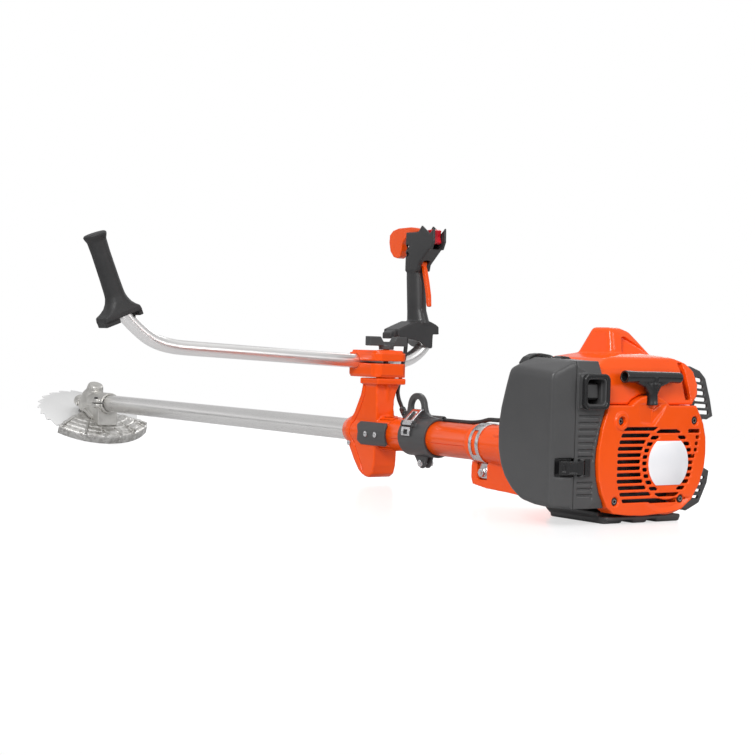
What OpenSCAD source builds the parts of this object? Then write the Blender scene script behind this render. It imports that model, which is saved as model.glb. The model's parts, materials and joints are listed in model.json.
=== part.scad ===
/* [Shaft] */
// Outer diameter of the aluminium shaft tube
tube_d = 35; // [34:0.5:35]
// Length of the shaft tube
tube_l = 1483; // [1400:1:1483]
// Diameter of the steel drive shaft inside the tube
drive_d = 8; // [7:0.5:8]
// Number of plastic bushes that carry the drive shaft
bush_n = 6; // [4:1:7]
/* [Blade] */
// Outer diameter of the saw blade
blade_d = 225; // [200:1:230]
// Number of teeth on the saw blade
blade_teeth = 24; // [16:1:30]
// Thickness of the saw blade
blade_t = 2; // [1.5:0.1:2.4]
// Angle between the shaft and the blade's plane
gear_angle = 24; // [24:1:24]
/* [Handlebar] */
// Outer diameter of the handlebar tube
bar_d = 22; // [21:0.5:22]
// Diameter of the left grip at its waist
grip_d = 28; // [26:0.5:30]
/* [Engine] */
// Number of rows of cooling slots in the starter cover
slot_rows = 11; // [7:1:11]
// Distance between two rows of cooling slots
slot_pitch = 8.07; // [7.5:0.01:8.4]
// Height of one cooling slot
slot_h = 4.5; // [3.5:0.1:5]
// Number of fan blades on the flywheel
fan_n = 14; // [10:1:16]
/* [Hanging eye] */
// Radius of the hole that takes the harness hook
eye_r = 13; // [11:0.5:14]
// Thickness of the hanging eye plate
eye_t = 7; // [5:0.5:8]
/* [Hidden] */
$fn = 48;

ox = 537; oz = 45;
gx = 1711.8;
ga = gear_angle;
bar_x = 665; bar_z = 113;
sw_x = 626;
tr = tube_d / 2;

// Places the shaft frame (X along the shaft, origin at the cover's rear face) in the part's own frame
module place() translate([-ox, 0, -oz]) children();
// Extrudes an outline drawn in Y,Z along X from a to b
module ex(a, b) translate([a, 0, 0]) rotate([90, 0, 90]) linear_extrude(b - a) children();
// Extrudes an outline drawn in X,Z along Y from a to b
module exy(a, b) translate([0, b, 0]) rotate([90, 0, 0]) linear_extrude(b - a) children();
// Turns a radius,X profile about the shaft axis
module turn() rotate([0, 90, 0]) rotate_extrude($fn = 64) children();
// Cylinder along X
module cx(a, b, r) translate([a, 0, 0]) rotate([0, 90, 0]) cylinder(h = b - a, r = r);
// Cylinder along Y
module cy(x, z, a, b, r) translate([x, b, z]) rotate([90, 0, 0]) cylinder(h = b - a, r = r);
// Cylinder along Z
module cz(x, y, a, b, r) translate([x, y, a]) cylinder(h = b - a, r = r);
// Box from corner to corner
module bx(a, b) translate(a) cube(b - a);
// Gear head frame: origin where the axes cross, Z along the blade spindle
module gh() translate([gx, 0, 0]) rotate([0, -ga, 0]) children();

// Vector helpers for swept tubes
function vsub(a, b) = [a[0] - b[0], a[1] - b[1], a[2] - b[2]];
function unit(v) = v / norm(v);
function tang(p, i) = unit(vsub(p[min(i + 1, len(p) - 1)], p[max(i - 1, 0)]));
// Tube swept along points p with radius r and n sides; ref is a direction the path never follows
module sweep(p, r, n, ref = [1, 0, 0]) {
  pts = [for (i = [0 : len(p) - 1]) let (t = tang(p, i), s = unit(cross(t, ref)), u = cross(t, s))
    for (k = [0 : n - 1]) p[i] + r * (cos(360 * k / n) * s + sin(360 * k / n) * u)];
  f = [for (i = [0 : len(p) - 2]) for (k = [0 : n - 1])
    [i * n + k, (i + 1) * n + k, (i + 1) * n + (k + 1) % n, i * n + (k + 1) % n]];
  polyhedron(points = pts, faces = concat([[for (k = [0 : n - 1]) k]], f,
    [[for (k = [n - 1 : -1 : 0]) (len(p) - 1) * n + k]]), convexity = 6);
}

// ---------------- Engine ----------------
// Rear outline of the starter cover, Y then Z
cover_pts = [[105, 73], [108, 62], [114, 44], [119, 20], [120, 2], [118, -20], [112, -38], [103, -54], [92, -62], [66, -65],
  [40, -66], [0, -64], [-26, -60], [-44, -48], [-58, -28], [-66, -6], [-68, 12], [-67, 32], [-62, 50], [-55, 62], [-48, 73]];
module cover_outline() union() {
  polygon(cover_pts);
  intersection() { translate([33, 37]) circle(r = 48.7, $fn = 96); translate([-20, 70]) square([110, 20]); }
}
module shrink2(k) translate([25, 4]) scale(k) translate([-25, -4]) children();
screw_pos = [[83.5, 53.3], [-46.6, 53.7], [89.9, -46.8], [-25.3, -46.5]];

module starter_cover() color("orangered") difference() {
  union() {
    difference() { ex(0, 24) cover_outline(); ex(3, 25) shrink2(0.955) cover_outline(); }
    for (s = screw_pos) translate([0, s[0], s[1]]) cx(0.5, 23, 6.5);
    cx(2, 19, 5.94);
    translate([0, 83.5, 53.3]) cx(-2, 3, 11);
  }
  // Ring of slots around the label
  intersection() {
    difference() { cx(-1, 4, 45); cx(-2, 5, 36.6); }
    union() for (i = [0 : slot_rows - 1]) translate([0, 0, (i - (slot_rows - 1) / 2) * slot_pitch]) bx([-1, -46, -slot_h / 2], [4, 46, slot_h / 2]);
  }
  // Left grille
  difference() {
    intersection() {
      translate([0, 0, -2]) cx(-1, 4, 90);
      union() for (i = [0 : 11]) translate([0, 0, 43.5 - 8.2 * i]) bx([-1, 10, -slot_h / 2], [4, 95, slot_h / 2]);
    }
    cx(-2, 5, 48.5);
    translate([0, 89.9, -46.8]) cx(-2, 5, 10);
    bx([-2, 88, -60], [5, 100, 60]);
  }
  // Small slots at the upper right
  for (i = [0 : 4]) translate([0, 0, (5 - i) * slot_pitch]) bx([-1, -56 + 0.6 * i * i - (i > 2 ? 2 : 0), -slot_h / 2], [4, -49 + 0.3 * i * i - (i < 1 ? -14 : 0), slot_h / 2]);
  for (s = screw_pos) translate([0, s[0], s[1]]) { cx(-3, 5, 5.2); cx(-3, 25, 2.4); }
  // Notch for the starter rope
  translate([0, 31, 0]) bx([-2, -9, 72], [15, 9, 90]);
}
module cover_label() color("white") intersection() {
  cx(-0.8, 0, 35);
  bx([-2, -40, -28], [2, 40, 28]);
}
module cover_screws() color("dimgray") for (s = screw_pos) translate([0, s[0], s[1]]) difference() {
  union() { cx(2, 5, 4.6); cx(4.8, 24.6, 2.35); }
  ex(1, 3.6) circle(r = 2.4, $fn = 6);
}
// Top cover outline, Y then Z
top_pts = [[103, 73.5], [108, 92], [112, 112], [108, 124], [96, 131], [60, 137], [20, 138], [-24, 134], [-46, 127], [-57, 116], [-62, 100], [-60, 86], [-48, 73.5]];
top_side = [[4, 60], [10, 90], [15, 118], [22, 132], [38, 140], [112, 140], [122, 132], [126, 116], [126, 60]];
module engine_cover() color("orangered") difference() {
  union() {
    difference() {
      intersection() {
        ex(1, 127) difference() { polygon(top_pts); circle(r = 86.4, $fn = 96); }
        exy(-80, 120) polygon(top_side);
      }
      intersection() {
        ex(4.5, 122) translate([25, 60]) scale(0.945) translate([-25, -60]) difference() { polygon(top_pts); circle(r = 80, $fn = 96); translate([-70, 40]) square([190, 33]); }
        translate([4, 0, -4]) exy(-80, 120) polygon(top_side);
      }
      bx([12, -44, 60], [122, 92, 78]);
    }
    // Lower edge around the rope outlet
    intersection() {
      ex(1, 13.3) polygon([[-44, 73.8], [60, 73.8], [64, 88.3], [-40, 88.3]]);
      exy(-80, 120) polygon(top_side);
    }
    // Hump over the spark plug
    hull() {
      bx([44, -6, 130], [112, 62, 135]);
      bx([54, 30, 168], [88, 56, 171]);
    }
  }
  hull() { bx([50, 2, 120], [106, 56, 131]); bx([58, 30, 158], [84, 52, 165]); }
  ex(-1, 24) polygon([[-30.5, 127], [-38.5, 127], [-45, 90], [-35.4, 90]]);
  translate([0, 33, 37]) cx(-1, 27, 49.35);
  cz(1, 31, 70, 92, 8.8);
}
module crankcase() color("silver") difference() {
  union() {
    turn() polygon([[10, 50], [36, 50], [40, 54], [40, 114], [32, 120], [10, 120]]);
    bx([58, -34, 20], [112, 34, 44]);
    for (s = screw_pos) translate([0, s[0], s[1]]) cx(s == screw_pos[3] || s == screw_pos[1] ? 39 : 24.2, 55, 6);
    bx([50, -50, 44], [55.6, 88, 57]);
    bx([50, -50, 30], [55.6, -30, 57]);
    bx([50, 20, 30], [55.6, 88, 46]);
    bx([50, -30, -52], [60, 94, -38]);
    bx([62, -40, -42], [118, 90, -34]);
  }
  cx(64, 106, 28);
  cx(40, 130, 10.06);
  cz(85, 0, 0, 60, 24.2);
  for (s = screw_pos) translate([0, s[0], s[1]]) cx(20, 30, 2.4);
}
module engine_cylinder() color("gray") difference() {
  union() {
    cz(85, 0, 44.2, 108, 29);
    for (i = [0 : 5]) cz(85, 0, 58 + 8.4 * i, 60.4 + 8.4 * i, 35.5);
    bx([70, 24, 44.2], [100, 44, 70]);
    bx([70, -44, 48], [100, -24, 71]);
  }
  cz(85, 0, 40, 92, 24);
  cz(85, 0, 90, 120, 7);
  translate([85, 0, 56]) rotate([-90, 0, 0]) cylinder(h = 60, r = 8);
  translate([85, 0, 60]) rotate([90, 0, 0]) cylinder(h = 60, r = 8);
}
module piston() color("silver") difference() {
  cz(85, 0, 61, 86, 23.9);
  cz(85, 0, 55, 82, 22.2);
}
module connecting_rod() color("silver") difference() {
  union() {
    translate([0, 0, 17]) cx(81.5, 88.5, 8);
    translate([0, 0, 67]) cx(81.5, 88.5, 4.8);
    bx([82.5, -3, 22], [87.5, 3, 64]);
  }
  translate([0, 0, 17]) cx(80, 90, 5.06);
  translate([0, 0, 67]) cx(80, 90, 3);
}
module spark_plug() color("white") union() {
  cz(85, 0, 96, 107.8, 6.9);
  cz(85, 0, 108.2, 114, 9);
  cz(85, 0, 107, 109, 6.9);
  cz(85, 0, 113, 126, 4.6);
  cz(85, 0, 92.5, 97, 1);
}
module muffler() color("gray") union() {
  bx([64, -82, 4], [112, -50, 72]);
  bx([72, -51, 50], [98, -44, 70]);
  bx([58, -74, 30], [65, -60, 44]);
}
// Outline of the guard around the muffler, Y then Z
guard_pts = [[-60, 124], [-80, 117.5], [-91, 108], [-101, 80], [-106.8, 58], [-106.8, 10], [-103, -14], [-100, -30], [-86, -56], [-62, -66], [-48, -66], [-46, -60], [-60, -60],
  [-82, -52], [-95.5, -29], [-99, -14], [-102.8, 10], [-102.8, 57], [-97, 79], [-87.5, 105], [-78, 112.5], [-60, 118]];
module muffler_guard() color("dimgray") difference() {
  union() {
    ex(44, 118) polygon(guard_pts);
    // Upper grille
    ex(26, 45) polygon([[-60, 124], [-80, 117.5], [-91, 108], [-101, 80], [-106.8, 58], [-96, 53.5], [-95.6, 57.5], [-102, 60], [-97, 79], [-87.5, 105], [-78, 112.5], [-60, 118]]);
    ex(26, 30) polygon([[-60, 124], [-80, 117.5], [-91, 108], [-101, 80], [-106.8, 58], [-96, 53.5], [-70, 56], [-66, 70]]);
    // Lower grille
    ex(26, 45) polygon([[-103, -14], [-100, -30], [-86, -56], [-62, -66], [-60, -60], [-82, -52], [-95.5, -29], [-99, -14]]);
    ex(26, 30) polygon([[-94, -10], [-103, -14], [-100, -30], [-86, -56], [-62, -66], [-54, -62], [-68, -44], [-80, -24]]);
  }
  for (i = [0 : 5]) ex(20, 34) polygon([[-72, 109 - 8.6 * i], [-84 - 2.9 * i, 107 - 8.4 * i], [-84 - 2.9 * i, 102 - 8.4 * i], [-72, 104 - 8.6 * i]]);
  // Slots in the side wall
  for (i = [0 : 5]) ex(48, 108) polygon([[-74, 109 - 8.6 * i], [-112, 107 - 8.4 * i], [-112, 102 - 8.4 * i], [-74, 104 - 8.6 * i]]);
  for (i = [0 : 3]) ex(20, 34) polygon([[-83.5 + 4.4 * i, -21 - 8.4 * i], [-95 + 3.4 * i, -21 - 8.4 * i], [-94 + 3.4 * i, -25 - 8.4 * i], [-81.5 + 4.4 * i, -25 - 8.4 * i]]);
}
module fuel_tank() color("dimgray") difference() {
  union() {
    hull() { bx([26, -40, -66], [124, 96, -62]); bx([26, -34, -72], [120, 92, -70]); }
    bx([66, -36, -64], [120, 92, -44]);
    // Feet
    bx([10, -36, -72], [30, 94, -67]);
    bx([16, 62, -76.6], [116, 94, -71]);
    bx([12, 23, -76.6], [60, 47, -71]);
    bx([12, -36, -76.6], [110, 6, -71]);
    translate([119, 60, -57]) rotate([0, 90, 0]) cylinder(h = 13, r = 14.5);
  }
  bx([69, -33, -64], [117, 89, -47]);
  bx([30, -33, -69], [117, 89, -63]);
  translate([110, 60, -57]) rotate([0, 90, 0]) cylinder(h = 30, r = 11.5);
}
module fuel_cap() color("black") difference() {
  union() {
    translate([132.2, 60, -57]) rotate([0, 90, 0]) cylinder(h = 9, r = 17);
    translate([120, 60, -57]) rotate([0, 90, 0]) cylinder(h = 14, r = 11.2);
  }
  translate([138, 60, -57]) { bx([0, -12, -10], [5, 12, -2.5]); bx([0, -12, 2.5], [5, 12, 10]); }
}
// Side outline of the air filter cover, X then Z
filt_pts = [[10, 127], [84, 130], [97, 127], [106, 104], [112, 80], [118, 43], [117, 12], [111, -8], [103, -22], [88, -37], [69, -49], [46, -53], [6, -55], [3, -40], [3, 100]];
filt_out = [[12, 113], [84, 118.5], [96, 115], [104, 92], [112, 66], [116, 43], [115, 12], [109, -8], [101, -22], [87, -36], [69, -47], [46, -51], [10, -53], [6, -40], [6, 98]];
module shrinkf(k) translate([60, 30]) scale(k) translate([-60, -30]) children();
module band_cut() translate([0, 0, -80]) linear_extrude(240) polygon([[-20, 100], [3, 100], [4, 119], [13, 187], [17, 193], [-20, 193]]);
module latch_pin() {
  for (z = [-15, 5]) bx([3.2, 140.6, z], [9, 146.5, z + 2]);
  cz(4.5, 143, -15, 7, 1.24);
}
module choke_bezel() difference() {
  bx([-4, 108.5, 69], [10, 149, 110]);
  bx([3.6, 100, 60], [12, 113.2, 120]);
  bx([-6, 113, 73.5], [12, 144.5, 105.5]);
  bx([-6, 116, 73], [12, 145, 106]);
  cy(26, 89, 100, 150, 2.08);
}
module filter_base() color("dimgray") { filter_shell(); latch_pin(); choke_bezel(); }
module filter_shell() difference() {
  union() {
    difference() {
      exy(121.5, 152) polygon(filt_pts);
      difference() { exy(124, 153) shrinkf(0.94) polygon(filt_pts); translate([3, 0, 0]) band_cut(); }
    }
    // Rear band beside the orange cover
    intersection() { ex(4, 16) polygon([[116, 128], [113.4, 112], [109.4, 92], [105.4, 76], [107, 70], [109.6, 62], [115.6, 44], [120.4, 20], [121.4, 2], [119.6, -20], [113.8, -38], [104.6, -54], [104.6, -55], [124, -55], [124, 128]]); exy(90, 130) polygon(filt_pts); }
    // Choke recess
    bx([3.5, 113.2, 69], [40, 149, 110]);
  }
  band_cut();
  bx([-1, 116, 73], [37, 145, 106]);
  cy(26, 89, 100, 150, 2.08);
  translate([85, 100, 56]) rotate([-90, 0, 0]) cylinder(h = 60, r = 14.2);
}
module filter_cover() color("dimgray") difference() {
  hull() {
    exy(152.4, 156) polygon(filt_pts);
    exy(178, 185) polygon(filt_out);
    exy(187, 188) shrinkf(0.94) polygon(filt_out);
  }
  difference() {
    hull() {
      exy(150, 155) shrinkf(0.94) polygon(filt_pts);
      exy(180, 183.5) shrinkf(0.93) polygon(filt_out);
    }
    translate([3.2, 0, 0]) band_cut();
    bx([0, 145, -18], [17.5, 181, 10]);
  }
  band_cut();
  // Recess for the latch
  bx([0, 150, -14], [14, 178, 6]);
}
module cover_latch() color("black") difference() {
  union() {
    translate([0, 0, -12.7]) linear_extrude(17.4) polygon([[6, 143], [7, 149], [8.4, 160], [11.2, 174], [7.4, 175], [3.6, 161], [2, 146], [2.4, 143]]);
    cz(4.5, 143, -12.7, 4.7, 2.3);
  }
  cz(4.5, 143, -20, 20, 1.3);
}
module choke_lever() color("dimgray") union() {
  cy(26, 89, 117, 143, 4);
  cy(26, 89, 113.6, 148, 2);
  exy(118, 142) polygon([[24, 92], [14, 100], [8, 98], [7, 82], [12, 79], [24, 86]]);
}
module filter_element() color("whitesmoke") difference() {
  hull() { bx([30, 154, 8], [86, 174, 84]); bx([24, 154, 14], [92, 174, 78]); }
  bx([36, 150, 18], [80, 170, 72]);
}
module carburettor() color("silver") difference() {
  union() {
    bx([66, 44, 38], [104, 84, 72]);
    translate([85, 84, 56]) rotate([-90, 0, 0]) cylinder(h = 37, r = 14);
    bx([72, 50, 24], [98, 78, 38.5]);
  }
  translate([85, 40, 56]) rotate([-90, 0, 0]) cylinder(h = 90, r = 8);
}
module crankshaft() color("silver") union() {
  cx(24, 78, 5);
  cx(56, 66.5, 9.9);
  cx(92, 128, 5);
  cx(103.5, 114, 9.9);
  for (x = [67, 90]) intersection() { cx(x, x + 13, 26); union() { translate([0, 0, -14]) cx(x - 1, x + 14, 30); bx([x, -9, -4], [x + 13, 9, 26]); } }
  translate([0, 0, 17]) cx(78, 92, 5);
}
module flywheel() color("gray") difference() {
  union() {
    cx(34, 48, 36);
    cx(34, 38, 58);
    for (i = [0 : fan_n - 1]) rotate([i * 360 / fan_n, 0, 0]) bx([25, 37, -1], [34.5, 58, 1]);
    cx(25, 34.5, 14);
  }
  cx(20, 50, 5);
}
module clutch_shoes() color("gray") difference() {
  union() {
    cx(124, 142, 12);
    for (i = [0 : 2]) rotate([i * 120, 0, 0]) intersection() { difference() { cx(126, 140, 32); cx(125, 141, 15); } ex(124, 142) polygon([[2, 0], [34, 41], [60, 0], [34, -41]]); }
    for (i = [0 : 2]) rotate([i * 120, 0, 0]) bx([128, 9, -3], [138, 18, 3]);
  }
  cx(120, 128, 5);
}
module clutch_drum() color("silver") union() {
  difference() { cx(123, 148, 36); cx(122, 144.5, 33); }
  difference() { cx(147, 176, 9.94); cx(160, 178, 4); }
}
module starter_pulley() color("black") difference() {
  union() {
    difference() { cx(3.6, 13, 34); difference() { cx(5.3, 8.7, 36); cx(5, 9, 26); } }
    difference() { cx(5.6, 8.4, 29.2); cx(5, 9, 25); }
  }
  cx(0, 20, 6);
}
module starter_handle() color("dimgray") union() {
  difference() {
    cy(1, 108.7, -18.5, 80.5, 8);
    cy(1, 108.7, 62, 90, 5);
  }
  cz(1, 31, 73, 103, 8);
  hull() { cz(1, 31, 92, 94, 8); bx([-5, 17, 103], [7, 45, 106]); }
  cz(7, 31, -38, 74, 1.5);
}
module clutch_housing() color("orangered") difference() {
  union() {
    turn() polygon([[52, 121], [56, 121], [56, 150], [46, 186], [36, 250], [30, 320], [28.3, 345], [28.3, 374], [17.7, 374], [17.7, 320], [26, 312], [32, 250], [40, 190], [51, 150], [52, 121]]);
    difference() { cx(152, 172, 50); cx(151, 173, 10.0); }
    // Lower web and clamp lug
    difference() { exy(-11, 11) polygon([[386, -24], [387, -50], [383, -60], [352, -64], [300, -66], [240, -70], [128, -76], [128, -50], [180, -38], [240, -28], [330, -22], [352, -22]]); cx(100, 400, 28.4); cx(348, 375, 31); bx([350, -12, -52], [373, 12, -20]); }
    // Ribs
    for (a = [-60, -30, 30, 60, 90, 120]) rotate([a, 0, 0]) exy(-1.5, 1.5) polygon([[130, 54], [150, 60], [200, 50], [260, 40], [318, 32], [318, 28], [250, 34], [190, 44]]);
  }
  cx(100, 125, 52);
}
module band_clamp() color("silver") difference() {
  union() {
    difference() { cx(350, 372, 30.2); cx(349, 373, 28.5); }
    difference() { bx([351, -8, -50], [371, -6, -28]); cx(349, 373, 28.5); }
    difference() { bx([351, 6, -50], [371, 8, -28]); cx(349, 373, 28.5); }
  }
  bx([357, 20, -16], [366, 40, 20]);
  bx([349, -5.9, -40], [373, 5.9, -20]);
  cy(361, -42, -20, 20, 3.2);
}
module band_clamp_bolt() color("silver") union() {
  cy(361, -42, -14, 16, 3);
  translate([361, 14, -42]) rotate([90, 0, 0]) cylinder(h = 6, r = 6.5, $fn = 6);
  cy(361, -42, -13, -8.1, 5.5);
}
// ---------------- Shaft ----------------
module rear_tube() color("orangered") turn() polygon([[17.6, 376], [27.5, 376], [28, 378], [28, 384], [26, 388], [26, 622], [24, 624], [17.6, 624]]);
module shaft_tube() color("silver") turn() polygon([[tr - 1.5, 190], [tr, 190], [tr, 190 + tube_l], [tr - 1.5, 190 + tube_l]]);
module drive_shaft() color("gray") cx(160, gx - 10, drive_d / 2);
module shaft_bushes() color("white") for (i = [0 : bush_n - 1]) translate([230 + i * 1410 / (bush_n - 1), 0, 0])
  turn() polygon([[drive_d / 2 + 0.06, 0], [drive_d / 2 + 2, 0], [drive_d / 2 + 3, 4], [tr - 1.5, 4], [tr - 1.5, 16], [drive_d / 2 + 3, 16], [drive_d / 2 + 2, 20], [drive_d / 2 + 0.06, 20]]);
// ---------------- Suspension clamp ----------------
module suspension_clamp() color("dimgray") difference() {
  union() {
    cx(480, 548, 30);
    translate([0, -11, 27.6]) cx(484, 546, 6.2);
    difference() {
      exy(-eye_t / 2, eye_t / 2) union() {
        translate([ox, oz]) circle(r = 22);
        polygon([[486, 26], [572, 26], [572, 30], [562, 33], [558.5, 48], [515.5, 48], [511, 38], [502, 32.5], [486, 30.5]]);
      }
      cy(ox, oz, -eye_t, eye_t, eye_r);
    }
    // Lower lug
    for (y = [-7, 3]) exy(y, y + 4) union() { translate([514, -40]) circle(r = 8); polygon([[500, -26], [536, -26], [521, -44], [507, -44]]); }
    // Hinge ears of the catch
    for (x = [509, 535.5]) ex(x, x + 2.5) polygon([[22, 18], [31, 15], [32.5, 20], [30, 25], [22, 26]]);
  }
  cx(400, 640, 26.2);
  // Room for the hook below the eye
  cy(ox, oz, -40, -eye_t / 2, eye_r + 0.3);
  translate([0, -11, 27.6]) cx(400, 640, 3.9);
  cy(514, -40, -20, 20, 3.1);
  translate([0, 29, 20]) cx(500, 545, 1.3);
}
module suspension_catch() color("silver") difference() {
  union() {
    ex(512, 534.5) polygon([[27.6, 18.4], [30.6, 18.4], [30.6, 21.6], [20, 33.6], [10, 42], [7, 42], [7, 40.2], [9.4, 40], [18.8, 32], [27.4, 22.4]]);
    translate([0, 29, 20]) cx(512, 534.5, 2.4);
  }
  translate([0, 29, 20]) cx(500, 545, 1.3);
  bx([518, 4, 29], [528.5, 21, 44]);
}
module suspension_bolt() color("silver") union() {
  cy(514, -40, -12, 12, 3.05);
  cy(514, -40, 7.1, 11, 5.2);
  translate([514, -7.1, -40]) rotate([90, 0, 0]) cylinder(h = 5, r = 5.6, $fn = 6);
}
// ---------------- Handle post ----------------
post_pts = [[619, 77], [658, 77], [663, 60], [680, 30], [697, 14], [704, 6], [702, -10], [692, -26], [678, -46], [664, -62], [650, -70], [636, -72], [626, -66], [621, -52], [620, -30], [618, 0], [616, 30], [618, 60]];
module post_front_zone() exy(-60, 60) polygon([[652, 90], [652, 60], [668, 30], [684, 10], [686, -8], [672, -30], [656, -54], [645, -80], [760, -80], [760, 90]]);
module post_all() difference() {
  union() {
    difference() { exy(-22, 22) polygon(post_pts); exy(-15, 15) translate([652, 0]) scale(0.82) translate([-652, 0]) polygon(post_pts); }
    turn() polygon([[0, 582], [25.9, 582], [27, 583], [27, 696], [22, 712], [20, 716], [0, 716]]);
    bx([608, -27.5, 77], [657, 27.5, 87]);
    for (y = [-22, 16]) translate([0, y, 0]) bx([620, 0, 60], [656, 6, 78]);
    cz(sw_x, 0, 50, 80, 9);
  }
  cx(560, 624.5, 26.04);
  cx(600, 760, 17.55);
  cz(sw_x, 0, 58, 100, 4.3);
}
module handle_post_rear() color("orangered") difference() {
  post_all();
  translate([0.2, 0, 0]) post_front_zone();
  for (x = [606, 632]) translate([x, 0, -2]) rotate([-90, 0, 0]) cylinder(h = 60, r = 2.4);
}
module handle_post_front() color("orangered") intersection() { post_all(); translate([0.4, 0, 0]) post_front_zone(); }
module post_pad() color("dimgray") difference() {
  intersection() {
    difference() { cx(582, 662, 31); cx(581, 663, 27.1); }
    exy(22.3, 40) polygon([[582, 12], [586, 17], [655, 17], [661, 12], [655, 0], [661, -14], [656, -20], [588, -20], [582, -14]]);
  }
  for (x = [606, 632]) translate([x, 0, -2]) rotate([-90, 0, 0]) cylinder(h = 60, r = 2.4);
}
module post_screws() color("silver") {
  for (x = [606, 632]) translate([x, 0, -2]) rotate([-90, 0, 0]) { translate([0, 0, 26.5]) cylinder(h = 4.4, r = 2.35); translate([0, 0, 31.05]) cylinder(h = 1.5, r = 4.5); }
  translate([690, 22, -20]) rotate([-90, 0, 0]) cylinder(h = 2.4, r = 4);
}
// ---------------- Handlebar clamp ----------------
module jaw() polygon([[607, -21], [613, -29], [621, -32], [682, -32], [689, -25], [689, 25], [682, 32], [621, 32], [613, 29], [607, 21]]);
module clamp_lower() color("orangered") difference() {
  union() { translate([0, 0, 91]) linear_extrude(19) jaw(); cz(sw_x, 0, 87.2, 92, 15); }
  cy(bar_x, bar_z, -40, 40, bar_d / 2 + 0.05);
  cz(sw_x, 0, 80, 140, 4.5);
}
module clamp_upper() color("orangered") difference() {
  union() { translate([0, 0, 114]) linear_extrude(13) jaw(); translate([0, 0, 126]) linear_extrude(5) offset(delta = -4) jaw(); cz(sw_x, 0, 130, 132, 13); }
  cy(bar_x, bar_z, -40, 40, bar_d / 2 + 0.05);
  cz(sw_x, 0, 80, 140, 4.5);
}
module clamp_knob() color("dimgray") difference() {
  union() {
    cz(sw_x, 0, 60, 140, 4);
    cz(sw_x, 0, 132.3, 140, 12);
    translate([sw_x, 0, 138]) bx([-7, -36, 0], [7, 36, 15]);
  }
  translate([sw_x, 0, 0]) exy2() polygon([[-16, 154], [-10, 145], [10, 145], [16, 154]]);
}
module exy2() translate([-9, 0, 0]) rotate([90, 0, 90]) linear_extrude(18) children();
// Handlebar centre line left of the clamp, Y then Z
bar_left = [[32, 113], [90, 115.3], [180, 119.3], [270, 123.3], [340, 126.4], [362, 128.4], [380, 132], [396, 138], [410, 146.5], [424, 157.5], [435, 167.5], [443, 176.5], [449, 186], [454, 197], [462, 217], [474, 247], [484.5, 273]];
// Handlebar centre line right of the clamp
bar_right = [[-32, 113], [-50, 113.6], [-64, 115.5], [-76, 119.5], [-87, 125.8], [-96, 133], [-103, 141], [-107, 150], [-107.5, 160], [-104, 170], [-98, 180], [-93.5, 191], [-91, 204]];
function on_bar(l) = [for (p = l) [bar_x, p[0], p[1]]];
module handlebar() color("silver") union() {
  cy(bar_x, bar_z, -32, 32, bar_d / 2);
  sweep(on_bar(bar_left), bar_d / 2, 20);
  sweep(on_bar(bar_right), bar_d / 2, 20);
}
module left_grip() color("black") difference() {
  translate([bar_x, 451, 186]) rotate([-21.8, 0, 0]) union() {
    rotate_extrude() polygon([[0, -6], [19, -6], [20.5, -3], [20.5, 6], [19, 9], [16, 11], [14.6, 18], [grip_d / 2, 40], [grip_d / 2 - 0.3, 80], [grip_d / 2 + 0.4, 98], [17, 104], [17.4, 107], [15, 109], [0, 109]]);
    for (a = [20, 160, 200, 340]) rotate([0, 0, a]) bx([17, -5, -5], [25, 5, 8]);
  }
  sweep(on_bar(bar_left), bar_d / 2 + 0.06, 20);
}
// ---------------- Throttle handle ----------------
hy = -89;
module oval(x, y, a, b) translate([x, y, 0]) scale([a / b, 1, 1]) circle(r = b, $fn = 32);
module throttle_handle() color("dimgray") difference() {
  union() {
    // Base around the bar
    ex(647, 688) polygon([[-38, 154], [-38, 166], [-52, 172], [-72, 180], [-104, 180], [-114, 176], [-120, 172], [-121, 160], [-116, 142], [-106, 136], [-94, 139], [-80, 148], [-50, 152]]);
    translate([656, 0, 0]) ex(0, 22) polygon([[-28, 150], [-28, 160], [-40, 166], [-46, 152]]);
    translate([667, -118, 167]) rotate([90, 0, 0]) cylinder(h = 12, r = 7);
    // Grip
    hull() {
      translate([667, -92, 176]) linear_extrude(2) oval(0, 0, 23, 15.5);
      translate([669, -90, 196]) linear_extrude(2) oval(0, 0, 19.5, 13.5);
    }
    hull() {
      translate([669, -90, 194]) linear_extrude(2) oval(0, 0, 19.5, 13.5);
      translate([674, -89, 270]) linear_extrude(2) oval(0, 0, 19, 13.5);
    }
    // Head
    exy(hy - 13.5, hy + 13.5) polygon([[652, 262], [690, 262], [691, 284], [691, 326], [652, 326], [650, 300], [634, 296], [620, 298], [650, 272]]);
    exy(hy - 13.5, hy - 9) polygon([[634, 296], [616, 296], [610, 309], [611, 331], [622, 322], [644, 336], [653, 326], [653, 298]]);
    exy(hy + 9, hy + 13.5) polygon([[634, 296], [616, 296], [610, 309], [611, 331], [622, 322], [644, 336], [653, 326], [653, 298]]);
    exy(hy - 11, hy + 11) polygon([[640, 294], [654, 294], [654, 326], [640, 322]]);
  }
  // Slot for the trigger
  bx([671, hy - 8, 303], [720, hy + 8, 340]);
  bx([655, hy - 8, 320], [700, hy + 8, 340]);
  cy(679, 312, hy - 20, hy + 20, 2.1);
  // Slot for the lockout lever
  exy(hy - 6, hy + 6) polygon([[628, 196], [650.5, 196], [652.5, 240], [662, 282], [646, 284], [630, 260]]);
  cy(654, 274, hy - 20, hy + 20, 2.1);
  cy(634, 317, hy - 20, hy + 20, 2.1);
  // Hollow around the handlebar
  sweep(on_bar(bar_right), bar_d / 2 + 0.06, 20);
  // Inside of the grip
  cz(672, hy, 210, 262, 8);
  // Holes on the left face
  cy(684, 300, hy + 11, hy + 20, 3.4);
  cy(683, 289, hy + 11, hy + 20, 3.2);
}
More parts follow.
